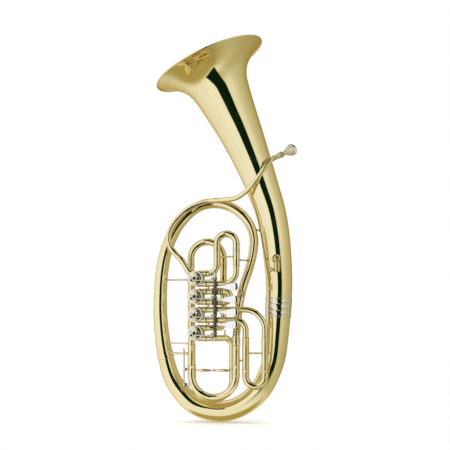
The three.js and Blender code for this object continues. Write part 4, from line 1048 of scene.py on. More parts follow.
    def band(
        self, middle: float, length: float, lines: Sequence[Triple], fit: float, wall: float, sides: int
    ) -> None:
        """A ferrule that lies round the tube and follows its cone.

        Args:
            middle: Distance along the tube to its middle.
            length: Its length.
            lines: Place, half width and rise of each bead or groove.
            fit: Gap between tube and ferrule.
            wall: Its wall.
            sides: Corners of each ring.
        """
        start = middle - length / 2
        base = self.radius(middle)
        rings = []
        for along, radius in ringed(length, base, lines):
            follow = self.radius(start + along) + fit + wall + radius - base
            rings.append(self.line.ring(start + along, follow, sides))
        for share in spread(1.0, 0.0, 4):
            place = start + share * length
            rings.append(self.line.ring(place, self.radius(place) + fit * 0.5, sides))
        self.rings(rings, loop=True)

    def add_plates(self) -> None:
        """Two round solder plates on the front of the branch."""
        sunk, thick, rim = 1.4, 1.8, 0.4
        for height, radius in self.plates:
            place = self.place_at(height, self.plate_shares)
            origin = self.centre(place) + FRONT * (self.radius(place) - sunk)
            outline = [
                (0, 0), (radius - 0.3, 0), (radius, 0.3), (radius, thick), (radius - 0.4, thick + rim),
                (radius - 1.2, thick + rim), (radius - 1.6, thick), (0, thick),
            ]
            self.turned(outline, origin, FRONT, 48, 1)


# Valves, linkage and levers


@dataclass
class Valve(Maker):
    """One rotary valve: casing, rotor, back cap, stop arm and link."""

    layout: Layout
    index: int
    casing_radius: float = 15.5
    casing_half: float = 15.0
    disc_radius: float = 13.5
    disc_height: float = 2.5
    disc_fall: float = 0.95
    disc_rings: Sequence[float] = (1.8, 4.2, 7.4)
    ring_outline: Outline = ((0.6, 0.0), (0.2, 0.0), (0.1, 0.14), (-0.1, 0.14), (-0.2, 0.0))
    port_root: float = 5.9 / 3
    spindle_bore: float = 3.35
    hub_height: float = 7.0
    plate_height: float = 4.0
    eye_radius: float = 3.2
    screw_angles: Sequence[float] = (65, 115, 245, 295)
    stop_angles: Sequence[Pair] = ((-4.0, 24.0), (156.0, 184.0))
    rotor_outline: Outline = (
        (0, -16.2), (2.6, -16.2), (3.0, -15.8), (3.0, -10.5), (11.8, -10.5), (12.2, -10.1), (12.2, -6.2),
        (9.0, -5.2), (7.4, -2.6), (6.8, 0), (7.4, 2.6), (9.0, 5.2), (12.2, 6.2), (12.2, 11.2), (11.8, 11.6),
        (3.0, 11.6), (3.0, 25.4), (0, 25.4),
    )
    cap_edge: Pair = (-18.0, -15.3)
    cap_outline: Outline = (
        (0, -20.0), (4.2, -20.0), (4.6, -19.6), (8.8, -19.6), (10.2, -19.3), (12.6, -18.4), (13.4, -18.0),
        (13.6, -17.0), (0, -17.0),
    )

    @property
    def number(self) -> int:
        """The valve's number, from 1 at the top."""
        return self.index + 1

    @property
    def name(self) -> str:
        """The first part of its pieces' names."""
        return f"valve_{self.number}"

    @property
    def centre(self) -> Point:
        """The valve's middle."""
        return self.layout.valve(self.index)

    def build(self) -> None:
        """Builds and dresses the valve's pieces."""
        self.build_casing()
        self.turned(self.rotor_outline, self.centre, FRONT, 48)
        self.piece(f"{self.name}_plug", [f"{self.name}_rotor"], [TURNED_NICKEL], f"rotor_{self.number}")
        self.knurls(self.centre, FRONT, self.casing_radius, self.cap_edge, 72)
        self.turned(self.cap_outline, self.centre, FRONT, 60)
        self.piece(f"{self.name}_cap", [f"{self.name}_back_cap"])
        self.build_stop_arm()
        self.build_link()

    def build_casing(self) -> None:
        """A casing: barrel, ringed front disc with its stops and screws, and four short ports."""
        half, radius, disc = self.casing_half, self.casing_radius, self.disc_radius
        lip, rim = radius - 0.4, 3.0
        edges = [(lip, -half), (radius, 0.4 - half), (radius, rim - half), (lip, rim + 0.4 - half)]
        step = [(disc - 0.2, half), (disc - 0.2, half + 0.2), (0, half + 0.2)]
        self.turned([(0, -half), *mirrored(edges, 0), *step], self.centre, FRONT, 72)
        self.add_disc(half + self.disc_height)
        self.add_ports()
        self.add_screws(half + self.disc_height)
        finishes = [NICKEL, CORK, DARK_SCREW, TURNED_NICKEL, BRASS]
        self.piece(f"{self.name}_barrel", [f"{self.name}_casing"], finishes)

    def add_disc(self, front: float) -> None:
        """The ringed front disc with its two stops, one of them of cork.

        Args:
            front: Height of the disc's face.
        """
        disc, bore, base = self.disc_radius, self.spindle_bore, self.casing_half + 0.1
        face = [(disc, base), (disc, front - 1.4), (disc - 0.3, front - 1.05)]
        for inset in self.disc_rings:
            for offset, sunk in (*self.ring_outline, (-0.7, 0.0)):
                radius = disc - inset + offset
                face.append((radius, front - self.disc_fall * (radius / disc) ** 2 - sunk))
        face += [(bore + 0.4, front), (bore, front - 0.4), (bore, front - 2), (0, front - 2), (0, base)]
        self.turned(face, self.centre, FRONT, 72, 3)
        for (start, end), mark in zip(self.stop_angles, (1, 3)):
            self.arc_block((5.4, 9.0), (start, end), (front - 0.8, front + 4.4), mark)
            self.arc_block((9.0, 10.2), (start - 3, end + 3), (front - 0.9, front + 5.0), 3)

    def add_ports(self) -> None:
        """The two ports to the slide and the two of the line through the valves."""
        lay, centre = self.layout, self.centre
        reach, root = lay.pitch / 2, self.port_root
        for side in (1, -1):
            end = lay.port(self.index, side)
            self.port(at(centre[0] + 3, lay.plane_y, end[2]), end + RIGHT * lay.gap)
        middle = at(lay.line_x, lay.plane_y, centre[2])
        if self.index == 0:
            slant = unit(UP - RIGHT)
            self.port(centre + slant * (2 * root - 3), centre + slant * reach)
        else:
            self.port(middle + UP * root, middle + UP * reach)
        self.port(middle + DOWN * root, middle + DOWN * reach)

    def add_screws(self, front: float) -> None:
        """The four small screws in the front disc.

        Args:
            front: Height of the disc's face.
        """
        radius, low, high = 1.0, front - 1.2, front - 0.4
        outline = [(0, low), (radius, low), (radius, high - 0.2), (radius - 0.3, high), (0, high)]
        for degrees in self.screw_angles:
            self.turned(outline, self.centre + spoke(degrees) * (self.disc_radius - 3.0), FRONT, 16, 3)

    def port(self, start: Point, end: Point) -> None:
        """A short tube with a collar at its open end.

        Args:
            start: Its root.
            end: Its open end.
        """
        tube, length, bore = self.layout.tube, span(start, end), self.layout.tube - self.layout.wall
        collar = tube + 0.7
        outer = [
            (0, tube), (length - 5.0, tube), (length - 4.6, collar - 0.1), (length - 4.0, collar),
            (length - 0.8, collar), (length - 0.2, collar - 0.15), (length, collar - 0.5),
        ]
        self.sweep(Route([start, end]), outer, 36, 4, inner=[(0, bore), (length, bore)])

    def arc_block(self, radii: Pair, angles: Pair, heights: Pair, mark: int) -> None:
        """A block bent round the valve's axis.

        Args:
            radii: Its inner and outer radius.
            angles: The angles between which it lies, in degrees.
            heights: The heights between which it lies.
            mark: Number of the finish.
        """
        (inner, outer), (low, high), edge = radii, heights, 0.3
        section = [
            (inner, low), (inner, high - edge), (inner + edge, high), (outer - edge, high),
            (outer, high - edge), (outer, low),
        ]
        rings = []
        for degrees in spread(*angles, 8):
            out = spoke(degrees)
            rings.append([self.centre + out * radius + FRONT * height for radius, height in section])
        self.rings(rings, mark)

    def build_stop_arm(self) -> None:
        """A stop arm: hub with its screw, a plate to the crank pin and the stop against the cork."""
        lay, centre, bore, pin = self.layout, self.centre, self.spindle_bore, self.layout.pin
        base = lay.stop_base
        top = base + self.hub_height
        low, high = base + 0.1, base + self.plate_height - 0.1
        offset = at(-lay.crank_side, 0, -lay.crank_side)
        hub = [
            (bore, base), (4.5, base), (4.8, base + 0.3), (4.8, top - 1.6), (4.4, top - 1.2),
            (4.4, top - 0.3), (4.1, top), (bore, top),
        ]
        self.turned(hub, centre, FRONT, 40)
        screw = [(0, top - 0.3), (3.3, top - 0.3), (3.3, top + 0.7), (2.7, top + 1.2), (0, top + 1.4)]
        self.turned(screw, centre, FRONT, 32, 1)
        for place, radius, sides in ((offset, 3.2, 32), (-offset, 2.0, 28)):
            self.turned(puck(0, radius, low, high, 0.25), centre + place, FRONT, sides)
        across = np.cross(unit(offset), FRONT)
        for reach, wide, narrow in ((offset, 4.4, 3.0), (-offset, 4.4, 1.8)):
            corners = (across * wide, reach + across * narrow, reach - across * narrow, -across * wide)
            foot = centre + FRONT * (base + 0.2)
            self.plate([foot + corner for corner in corners], FRONT * (self.plate_height - 0.4))
        head = lay.plane_y - lay.link_y + lay.eye_height / 2 + 0.3
        foot = base + self.plate_height
        crank_pin = [
            (0, base + 2), (1.7, base + 2), (1.7, foot + 1.2), (pin, foot + 1.8), (pin, head), (0, head),
        ]
        self.turned(crank_pin, centre + offset, FRONT, 24)
        pin_head = [
            (0, head - 0.1), (2.3, head - 0.1), (2.4, head + 0.2), (2.4, head + 0.8), (1.9, head + 1.2),
            (0, head + 1.3),
        ]
        self.turned(pin_head, centre + offset, FRONT, 28, 1)
        finishes = [TURNED_NICKEL, DARK_SCREW]
        self.piece(f"{self.name}_crank", [f"{self.name}_stop_arm"], finishes, f"rotor_{self.number}")

    def build_link(self) -> None:
        """A link: an eye on the crank pin, a rod with lock nuts and an eye round the lever's pin."""
        lay = self.layout
        half = lay.eye_height / 2
        left = at(lay.valve_x - lay.crank_side, lay.link_y, lay.link_z(self.index))
        right = at(lay.axle_x - lay.crank_side, lay.link_y, lay.link_z(self.index))
        for origin, heading, hole in ((left, FRONT, 1.5), (right, UP, 2.1)):
            self.turned(puck(hole, self.eye_radius, -half, half, 0.4), origin, heading, 32)
        start, end = left + RIGHT * 2.6, right - RIGHT * 2.8
        length = span(start, end)
        nuts = [(0, 0), (1.7, 0), (1.7, 1.8), (1.2, 2.4), (1.1, 3.2), (1.9, 3.2), (1.9, 5.6), (1.1, 5.6)]
        self.turned(mirrored(nuts, length), start, RIGHT, 24)
        self.piece(f"{self.name}_rod", [f"{self.name}_link"], [SILVER], f"link_{self.number}")


@dataclass
class Lever(Maker):
    """One lever with its hub tube, paddle, arm and upright pin, and its return spring."""

    layout: Layout
    index: int
    bore: float = 2.1
    collar: float = 4.2
    length: float = 51.6
    width: float = 15.8
    thickness: float = 1.8
    tip_start_share: float = 0.86
    tip_power: float = 2.6
    curl_start_share: float = 0.82
    curl: float = -3.3
    crown: float = 0.7
    splits: Sequence[float] = (262.4, 236.4, 206.4)
    heights: Sequence[float] = (274.2, 248.5, 223.2, 198.6)
    spring_heights: Sequence[float] = (265.0, 238.9, 225.4, 184.0)
    widths: Outline = ((0.047, 1.5), (0.2, 2.3), (0.42, 4.1), (0.62, 6.1), (0.86, 7.9))
    shares: Sequence[float] = (0.047, 0.1, 0.16, 0.23, 0.31, 0.39, 0.47, 0.55, 0.62, 0.69, 0.75, 0.81, 0.86)
    tip_angles: Sequence[float] = (12, 24, 36, 48, 58, 67, 75, 81, 86, 89)
    arm_sections: Sequence[Triple] = (
        (2.6, 2.4, 1.9), (5.0, 2.1, 1.7), (9.0, 1.6, 1.35), (17.0, 1.5, 1.3), (20.0, 1.8, 1.4),
        (22.6, 1.9, 1.4), (23.6, 1.4, 1.1), (24.0, 0.7, 0.6),
    )
    wire: float = 0.38
    spring_turns: int = 5
    spring_pitch: float = 1.3

    @property
    def axis(self) -> Point:
        """The axle's middle at height nought."""
        return at(self.layout.axle_x, self.layout.axle_y, 0)

    def build(self) -> None:
        """Builds and dresses the lever and its spring."""
        self.build_lever()
        self.build_spring()

    def build_lever(self) -> None:
        """A lever: collared hub tube, dished paddle and the arm with its upright pin."""
        lay, bore, hub, tall = self.layout, self.bore, self.layout.hub, self.layout.collar_height
        number, root = self.index + 1, hub - 0.2
        top = [lay.stack_top, *(z - lay.gap / 2 for z in self.splits)][self.index]
        bottom = [*(z + lay.gap / 2 for z in self.splits), lay.stack_bottom][self.index]
        tube = [(bore, bottom + 0.1), (hub, bottom + 0.1), (hub, top - 0.1), (bore, top - 0.1)]
        # The hub tube, its collars and its bosses take the near-black hub finish, painted shade on the axle
        # column.
        self.turned(tube, self.axis, UP, 32, 1)
        for low in (bottom, top - tall):
            self.turned(puck(root, self.collar, low, low + tall, 0.4), self.axis, UP, 36, 1)
        z = self.heights[self.index]
        boss = [(root, z - 4.6), (hub + 0.7, z - 4.2), (hub + 1.0, z - 3.4)]
        self.turned(mirrored(boss, 2 * z), self.axis, UP, 32, 1)
        self.add_paddle(self.axis + UP * z)
        self.add_arm()
        self.piece(f"valve_{number}_touch", [f"valve_{number}_lever"], [SILVER, PAINTED_SHADE_HUB], f"lever_{number}")

    def add_arm(self) -> None:
        """The arm, with the upright pin that works the link."""
        lay, hub, pin = self.layout, self.layout.hub, self.layout.pin
        swing = -lay.swing / 2
        heading = at(math.sin(swing), -math.cos(swing), 0)
        across = at(heading[1], -heading[0], 0)
        z = lay.link_z(self.index) + 3.4
        self.turned(mirrored([(hub - 0.2, z - 2.6), (hub + 0.9, z - 2.2)], 2 * z), self.axis, UP, 32, 1)
        middle = self.axis + UP * z
        self.rings([oval(middle + heading * along, across, UP, *size) for along, *size in self.arm_sections])
        foot = lay.link_z(self.index) - lay.eye_height / 2 - lay.crank + lay.crank_side - 0.3
        outline = [
            (0, foot), (0.9, foot), (pin, foot + 0.4), (pin, z + 1.2), (1.7, z + 1.4), (1.7, z + 2.0),
            (1.2, z + 2.6), (0, z + 2.8),
        ]
        self.turned(outline, self.axis + heading * lay.lever_arm, UP, 24)

    def add_paddle(self, root: Point) -> None:
        """The finger plate: a crowned leaf whose tip curls away from the finger.

        Args:
            root: Where it leaves the hub tube.
        """
        swing, tip = self.layout.swing, 1 - self.tip_start_share
        heading = at(math.cos(swing), -math.sin(swing), 0)
        face = at(-math.sin(swing), -math.cos(swing), 0)
        rings = []
        tips = (self.tip_start_share + tip * math.sin(math.radians(angle)) for angle in self.tip_angles)
        for share in (*self.shares, *tips):
            half = eased(self.widths, share)
            if share > self.tip_start_share:
                inside = 1 - ((share - self.tip_start_share) / tip) ** self.tip_power
                half = self.width / 2 * max(0.0, inside) ** (1 / self.tip_power)
            half = max(half, 0.3)
            thick = self.thickness / 2 * min(1.0, 0.35 + half / 3)
            curl = self.curl * max(0.0, (share - self.curl_start_share) / (1 - self.curl_start_share)) ** 2
            centre = root + heading * share * self.length + face * curl
            ring = []
            for angle in turns(36):
                height, depth = signed(math.cos(angle), 0.62), signed(math.sin(angle), 0.75)
                rise = self.crown * ((1 - height * height) * min(1.0, half / 5) - 0.5)
                ring.append(centre + UP * half * height + face * (thick * depth + rise))
            rings.append(ring)
        self.rings(rings)

    def build_spring(self) -> None:
        """A return spring: round wire wound on the hub tube."""
        steps, tip = 28, 0.2
        radius = self.layout.hub + 0.35 + self.wire
        points, start = [], self.spring_heights[self.index]
        for k in range(self.spring_turns * steps + 1):
            angle, rise = 2 * math.pi * k / steps, start + self.spring_pitch * k / steps
            points.append(self.axis + at(radius * math.cos(angle), radius * math.sin(angle), rise))
        route = Route(points)
        wire = [(0, tip), (tip, self.wire), (route.length - tip, self.wire), (route.length, tip)]
        self.sweep(route, wire, 12)
        self.piece(f"valve_{self.index + 1}_coil", [f"valve_{self.index + 1}_spring"], [STEEL])


@dataclass
class Axle(Maker):
    """The levers' axle with its two brackets."""

    layout: Layout
    radius: float = 1.8
    bore: float = 2.1
    post_height: float = 7.4
    foot_sections: Sequence[Triple] = (
        (0.45, 2.2, 3.0), (0.6, 2.3, 3.2), (0.8, 2.8, 3.9), (0.94, 3.0, 4.6), (1.0, 2.9, 4.6),
    )

    def build(self) -> None:
        """Builds and dresses the axle and its brackets."""
        lay, bore = self.layout, self.bore
        axis = at(lay.axle_x, lay.axle_y, 0)
        top_low = lay.stack_top + lay.gap
        top_high = top_low + self.post_height + 2 * lay.collar_height
        bottom_high = lay.stack_bottom - lay.gap
        bottom_low = bottom_high - self.post_height - lay.collar_height
        self.turned(puck(0, self.radius, bottom_low + 1.4, top_high - 1.4, 0.25), axis, UP, 28)
        self.piece("lever_spindle", ["lever_axle"], [STEEL])
        reach = BACK * (lay.plane_y - lay.tube - lay.gap - lay.axle_y)
        for name, low, high in (("top", top_low, top_high), ("bottom", bottom_low, bottom_high)):
            skirt = [
                (3.8, low), (4.3, low + 0.5), (4.3, low + 2.2), (3.9, low + 2.6), (3.9, high - 3.4),
                (4.3, high - 3.0), (4.3, high - 1.2), (3.4, high - 0.3),
            ]
            if name == "top":
                outline = [(bore, low), *skirt, (0, high), (0, high - 1.1), (bore, high - 1.1)]
            else:
                outline = [(0, low), *skirt, (bore, high - 0.3), (bore, low + 1.1), (0, low + 1.1)]
            self.turned(outline, axis, UP, 40)
            foot = axis + UP * (low + high) / 2
            sections = ((foot + reach * share, size) for share, *size in self.foot_sections)
            self.rings([oval(middle, RIGHT, UP, *size, 5) for middle, size in sections])
            self.piece(f"axle_post_{name}", [f"axle_bracket_{name}"], [TURNED_NICKEL])


# Slides


@dataclass
class Braced(Maker):
    """A sub-assembly that is held by stays, some of them to the body."""

    layout: Layout
    body: BodyTube

    def stay(self, start: Point, end: Point, radius: float, foot: float = 1.9) -> None:
        """A thin stay with turned feet, whose radius is a multiple of its own."""
        self.turned(footed(span(start, end), radius, radius * foot), start, end - start, 24)

    def body_stay(self, start: Point, leg: float, shares: Pair, radius: float) -> None:
        """A stay from a leg's outside to the body beside it.

        Args:
            start: Middle of the leg.
            leg: The leg's radius.
            shares: Shares of the body's length between which it is met.
            radius: The stay's radius.
        """
        leg_sunk, body_sunk = 0.5, 0.9
        place = self.body.place_at(float(start[2]), shares)
        target = self.body.centre(place)
        heading = unit(target - start)
        end = target - heading * (self.body.radius(place) - body_sunk)
        self.stay(start + heading * (leg - leg_sunk), end, radius)


@dataclass
class Slides(Braced):
    """The tuning slides with their sleeves, bows, stays and the water key."""

    one_left: float = -4.6
    one_width: float = 39.6
    one_top: float = 349.3
    one_sleeve: float = 30.0
    one_ferrule: float = 13.5
    one_bends: Pair = (17.7, 25.0)
    one_stay: float = 336.0
    two_end: float = 4.0
    two_sleeve: float = 17.0
    two_ferrule: float = 7.0
    two_insert: float = 13.0
    stay_sunk: float = 0.4
    port_stay: float = 1.4
    port_stay_foot: float = 2.3
    three_standoff: float = 19.8
    three_width: float = 38.7
    three_bends: Pair = (41.0, 20.8)
    three_end: float = 109.2
    three_sleeve: float = 60.6
    three_ferrule: float = 15.0
    three_brace: float = 141.0
    three_stay: float = 126.2
    three_turning: Outline = (
        (0, -3.2), (1.6, -2.9), (2.3, -1.4), (1.5, -0.7), (2.1, 0), (1.5, 0.7), (2.3, 1.4), (1.6, 2.9),
        (0, 3.2),
    )
    loop_y: float = -13.0
    loop_right: float = 4.7
    loop_width: float = 67.8
    loop_headroom: float = 64.4
    loop_sleeve: float = 34.0
    loop_ferrule: float = 12.5
    loop_bend: float = 13.0
    riser_y: float = -25.0
    riser_inset: float = 10.1
    riser_bottom: float = 45.9
    riser_bend: float = 16.0
    arch_shares: Pair = (0.62, 0.85)
    main_sleeve_length: float = 38.0
    main_ferrule: float = 20.0
    main_brace: float = 106.2
    middle_brace: float = 160.0
    lower_brace: float = 139.5
    brace_shares: Pair = (0.5, 0.68)
    turning_radius: float = 3.0
    turning_shares: Outline = (
        (0, 0.9), (0.02, 0.95), (0.05, 0.5), (0.2, 1), (0.36, 0.85), (0.43, 0.48), (0.455, 0.5), (0.475, 0.8),
        (0.5, 0.84),
    )
    key_standoff: float = 8.0
    key_pivot: float = 108.0
    key_pivot_offset: float = 4.2
    key_top: float = 151.0
    key_cork: float = 77.0
    nipple_length: float = 2.6
    hinge_sections: Sequence[Triple] = (
        (0.0, 1.5, 1.6), (0.15, 2.0, 2.2), (0.5, 2.0, 2.2), (0.85, 2.2, 2.5), (1.0, 2.2, 3.2),
    )
    ear_thickness: float = 1.2

    @property
    def loop_top(self) -> float:
        """How high the loop of valve 4 may stand under the arch of the branch.

        Returns:
            The height of its sleeves' mouths.
        """
        body, lay = self.body, self.layout
        places = [share * body.line.length for share in spread(*self.arch_shares, 60)]
        arch = max(body.centre(place)[2] - body.radius(place) for place in places)
        return arch - self.loop_headroom - self.loop_ferrule - self.loop_width / 2 - lay.wall - lay.sleeve

    @property
    def key_x(self) -> float:
        """Place of the water key's bar."""
        return self.layout.line_x - self.layout.main_sleeve - self.key_standoff

    def build(self) -> None:
        """Builds and dresses every slide."""
        self.build_one()
        self.build_two()
        self.build_three()
        self.build_loop()
        self.build_main()
        self.build_key()

    def sleeved(self, route: Route, length: float, tube: float, first: bool = False) -> None:
        """A fixed tube that widens into a sleeve, with a bead where it widens and a ring at its mouth.

        Args:
            route: The tube's path.
            length: The sleeve's length.
            tube: The tube's radius.
            first: Whether the sleeve is at the route's start instead of its end.
        """
        lay, full = self.layout, route.length
        start, sleeve, bead, ring = full - length, tube + lay.fit + lay.wall, 0.4, 0.5
        outer = [
            (0, tube), (start - 3.2, tube), (start - 2.6, sleeve + 0.15), (start - 1.9, sleeve + bead),
            (start - 0.7, sleeve + bead), (start, sleeve), (full - 4.2, sleeve), (full - 3.8, sleeve + 0.35),
            (full - 3.2, sleeve + ring), (full - 0.8, sleeve + ring), (full - 0.3, sleeve + 0.35),
            (full, sleeve - 0.1),
        ]
        bore, mouth = tube - lay.wall, sleeve - lay.wall
        inner = [(0, bore), (start, bore), (start, mouth), (full, mouth)]
        if first:
            walls = (outer, inner)
            outer, inner = ([(full - place, radius) for place, radius in wall[::-1]] for wall in walls)
        self.sweep(route, outer, 36, inner=inner)

    def bow(
        self,
        mouths: tuple[Point, Point],
        heading: Point,
        ferrule: float,
        tube: float,
        insert: float,
        extra: float = 0.0,
    ) -> None:
        """A slide bow: two inner legs, a ferrule on each and the bend between them.

        Args:
            mouths: Mouths of the two sleeves that its legs go into.
            heading: The way the bow pulls out.
            ferrule: Length of its ferrules.
            tube: Radius of its legs.
            insert: How far the legs go in.
            extra: Straight length between ferrule and bend.
        """
        lay, (first, last), width = self.layout, mouths, span(*mouths)
        reach, bend = heading * (ferrule + width / 2 + extra), width / 2 - lay.gap / 4
        sunk = heading * insert
        route = Route.bent((first - sunk, 0), (first + reach, bend), (last + reach, bend), (last - sunk, 0))
        start, sleeve, bead = insert + lay.gap, tube + lay.fit + lay.wall, 0.45
        end = start + ferrule
        half = [
            (0, tube - 0.2), (0.4, tube), (start, tube), (start, sleeve + 0.1), (start + 0.5, sleeve + bead),
            (start + 2.6, sleeve + bead), (start + 3.2, sleeve + 0.05), (end - 2.0, sleeve + 0.05),
            (end - 1.4, sleeve + 0.4), (end - 0.2, sleeve + 0.4), (end + 0.3, sleeve),
        ]
        outer = [*half, *((route.length - place, radius) for place, radius in reversed(half))]
        self.sweep(route, outer, 36, inner=[(0, tube - lay.wall), (route.length, tube - lay.wall)])

    def bent_legs(self, index: int, legs: Sequence[Point], bends: Pair, end: Point, sleeve: float) -> None:
        """Two tubes from a valve's ports, each bent once towards its sleeve.

        Args:
            index: The valve's index.
            legs: Places of the legs at height nought, with that of the upper port first.
            bends: Radii of the bends.
            end: The step from there to the sleeves' mouths.
            sleeve: Length of the sleeves.
        """
        lay = self.layout
        for side, leg, bend in zip((1, -1), legs, bends):
            port = lay.port(index, side)
            route = Route.bent((port + RIGHT * lay.gap, 0), (leg + UP * port[2], bend), (leg + end, 0))
            self.sleeved(route, sleeve, lay.tube)

    def across(self, left: float, right: float, height: float) -> None:
        """A level stay in the plane of the valves, between two places at one height."""
        y = self.layout.plane_y
        self.stay(at(left, y, height), at(right, y, height), self.layout.stay)

    def beside_ports(self, low: float, high: float) -> None:
        """A short upright stay between two ports' tubes, from one height to another."""
        foot = at(self.layout.port_x + 3.0, self.layout.plane_y, low)
        self.turned(footed(high - low, self.port_stay, self.port_stay_foot), foot, UP, 24)

    def build_one(self) -> None:
        """The slide of valve 1, which pulls up."""
        lay = self.layout
        left, right = at(self.one_left, lay.plane_y, 0), at(self.one_left + self.one_width, lay.plane_y, 0)
        top, reach = UP * self.one_top, lay.sleeve - self.stay_sunk
        self.bent_legs(0, (left, right), self.one_bends, top, self.one_sleeve)
        self.across(left[0] + reach, right[0] - reach, self.one_stay)
        self.piece("slide_1_legs", ["valve_1_slide_tubes"])
        self.bow((left + top, right + top), UP, self.one_ferrule, lay.tube, lay.insert)
        self.piece("slide_1_bend", ["valve_1_slide_bow"], body="slide_1")

    def build_two(self) -> None:
        """The short slide of valve 2, which pulls to the right, and the stays to the next ports."""
        lay = self.layout
        mouths = []
        for side, key in ((1, "upper"), (-1, "lower")):
            port = lay.port(1, side)
            mouths.append(at(self.two_end, lay.plane_y, port[2]))
            self.sleeved(Route([port + RIGHT * lay.gap, mouths[-1]]), self.two_sleeve, lay.tube)
            near = port[2] + side * (lay.tube - lay.wall / 2)
            far = lay.port(1 - side, -side)[2] - side * (lay.tube + lay.gap)
            self.beside_ports(min(near, far), max(near, far))
            self.piece(f"slide_2_{key}_leg", [f"valve_2_slide_{key}_tube"])
        self.bow(mouths, RIGHT, self.two_ferrule, lay.tube, self.two_insert, lay.wall)
        self.piece("slide_2_bend", ["valve_2_slide_bow"], body="slide_2")

    def build_three(self) -> None:
        """The slide of valve 3, which pulls down."""
        lay = self.layout
        inner = at(lay.right_x + self.three_standoff, lay.plane_y, 0)
        outer = inner + RIGHT * self.three_width
        end, reach = UP * self.three_end, lay.sleeve - self.stay_sunk
        self.bent_legs(2, (outer, inner), self.three_bends, end, self.three_sleeve)
        self.across(inner[0] + reach, outer[0] - reach, self.three_brace)
        self.turned(self.three_turning, (inner + outer) / 2 + UP * self.three_brace, RIGHT, 24)
        self.across(lay.right_x + lay.main_sleeve + lay.gap, inner[0] - reach, self.three_stay)
        low = lay.port(3, 1)[2] + lay.tube + lay.gap
        self.beside_ports(low, lay.port(2, -1)[2] - (lay.tube - lay.wall / 2))
        self.piece("slide_3_legs", ["valve_3_slide_tubes"])
        self.bow((inner + end, outer + end), DOWN, self.three_ferrule, lay.tube, lay.insert)
        self.piece("slide_3_bend", ["valve_3_slide_bow"], body="slide_3")

    def build_loop(self) -> None:
        """The long loop of valve 4 behind the others, with its slide at the top."""
        lay, y, back, riser_y = self.layout, self.layout.plane_y, self.loop_y, self.riser_y
        right, left = self.loop_right, self.loop_right - self.loop_width
        top, bend, turn_up = self.loop_top, self.loop_bend, self.riser_bend
        upper, lower = (lay.port(3, side) + RIGHT * lay.gap for side in (1, -1))
        route = Route.bent(
            (at(right, back, top), 0),
            (at(right, back, upper[2]), bend),
            (at(right - bend, y, upper[2]), bend),
            (upper, 0),
        )
        self.sleeved(route, self.loop_sleeve, lay.tube, first=True)
        self.piece("slide_4_right_leg", ["valve_4_loop_right"])
        riser_right, riser_left = lay.right_x - self.riser_inset, lay.line_x + lay.gap
        width = riser_right - riser_left
        turn = width / 2 - lay.gap
        route = Route.bent(
            (at(left, back, top), 0),
            (at(left, back, lay.main_top + 2 * bend), width),
            (at(riser_left, riser_y, self.main_brace), width),
            (at(riser_left, riser_y, self.riser_bottom), turn),
            (at(riser_right, riser_y, self.riser_bottom), turn),
            (at(riser_right, riser_y, lower[2]), turn_up),
            (at(riser_right - 2 * turn_up, y, lower[2]), turn_up / 2),
            (lower, 0),
        )
        self.sleeved(route, self.loop_sleeve, lay.tube, first=True)
        self.piece("slide_4_left_leg", ["valve_4_loop_left"])
        mouths = (at(left, back, top), at(right, back, top))
        self.bow(mouths, UP, self.loop_ferrule, lay.tube, lay.insert, lay.wall)
        self.piece("slide_4_bend", ["valve_4_slide_bow"], body="slide_4")

    def build_main(self) -> None:
        """The main tuning slide, which pulls down, with its stays, turned bar and hinge post."""
        lay, y, sleeve = self.layout, self.layout.plane_y, self.layout.main_sleeve
        left, right = at(lay.line_x, y, 0), at(lay.right_x, y, 0)
        foot, end = UP * (lay.valve_z(3) - (lay.pitch + lay.gap) / 2), UP * lay.main_sleeve_end
        self.sleeved(Route([left + foot, left + end]), self.main_sleeve_length, lay.main_tube)
        self.body_stay(left + UP * self.middle_brace, lay.main_tube, self.brace_shares, lay.stay)
        self.body_stay(left + UP * self.lower_brace, sleeve, self.brace_shares, 2.2)
        self.piece("main_slide_left_leg", ["main_slide_left_tube"])
        height = lay.main_top - lay.main_sleeve_end
        outer = ringed(height, sleeve, [(1.8, 1.4, 0.5), (height - 2.0, 1.5, 0.5)], 0.2)
        bore = [(0, sleeve - lay.wall), (height, sleeve - lay.wall)]
        self.sweep(Route([right + UP * lay.main_top, right + end]), outer, 40, inner=bore)
        self.piece("main_slide_right_leg", ["main_slide_right_tube"])
        self.bow((left + end, right + end), DOWN, self.main_ferrule, lay.main_tube, lay.insert)
        self.add_turned_bar()
        self.add_nipple()
        self.add_hinge()
        self.piece("main_slide_bend", ["main_slide_bow"], [BRASS, DARK_SCREW], "main_slide")

    def add_turned_bar(self) -> None:
        """The turned bar between the main slide's legs."""
        lay = self.layout
        reach = lay.main_sleeve - lay.wall / 2
        length = lay.main_width - 2 * reach
        shares = spread(0.0, 0.5, 40)
        half = [(self.turning_radius * eased(self.turning_shares, share), share * length) for share in shares]
        outline = [(0, 0), *half, *((radius, length - place) for radius, place in half[-2::-1]), (0, length)]
        self.turned(outline, at(lay.line_x + reach, lay.plane_y, self.main_brace), RIGHT, 32)

    def add_nipple(self) -> None:
        """The water key's nipple on the main slide's bow."""
        lay, half = self.layout, self.layout.main_width / 2
        end = lay.line_x - lay.main_sleeve - self.nipple_length
        drop = lay.main_sleeve_end - self.main_ferrule - self.key_cork
        root = lay.line_x + half - math.sqrt(half**2 - drop**2) - lay.main_tube - end
        outline = [
            (1.6, 0), (2.6, 0), (3.2, 0.5), (3.2, 1.6), (2.7, 2.1), (2.7, root - 0.8), (3.4, root + 0.4),
            (1.6, root + 0.4),
        ]
        self.turned(outline, at(end, lay.plane_y, self.key_cork), RIGHT, 28)

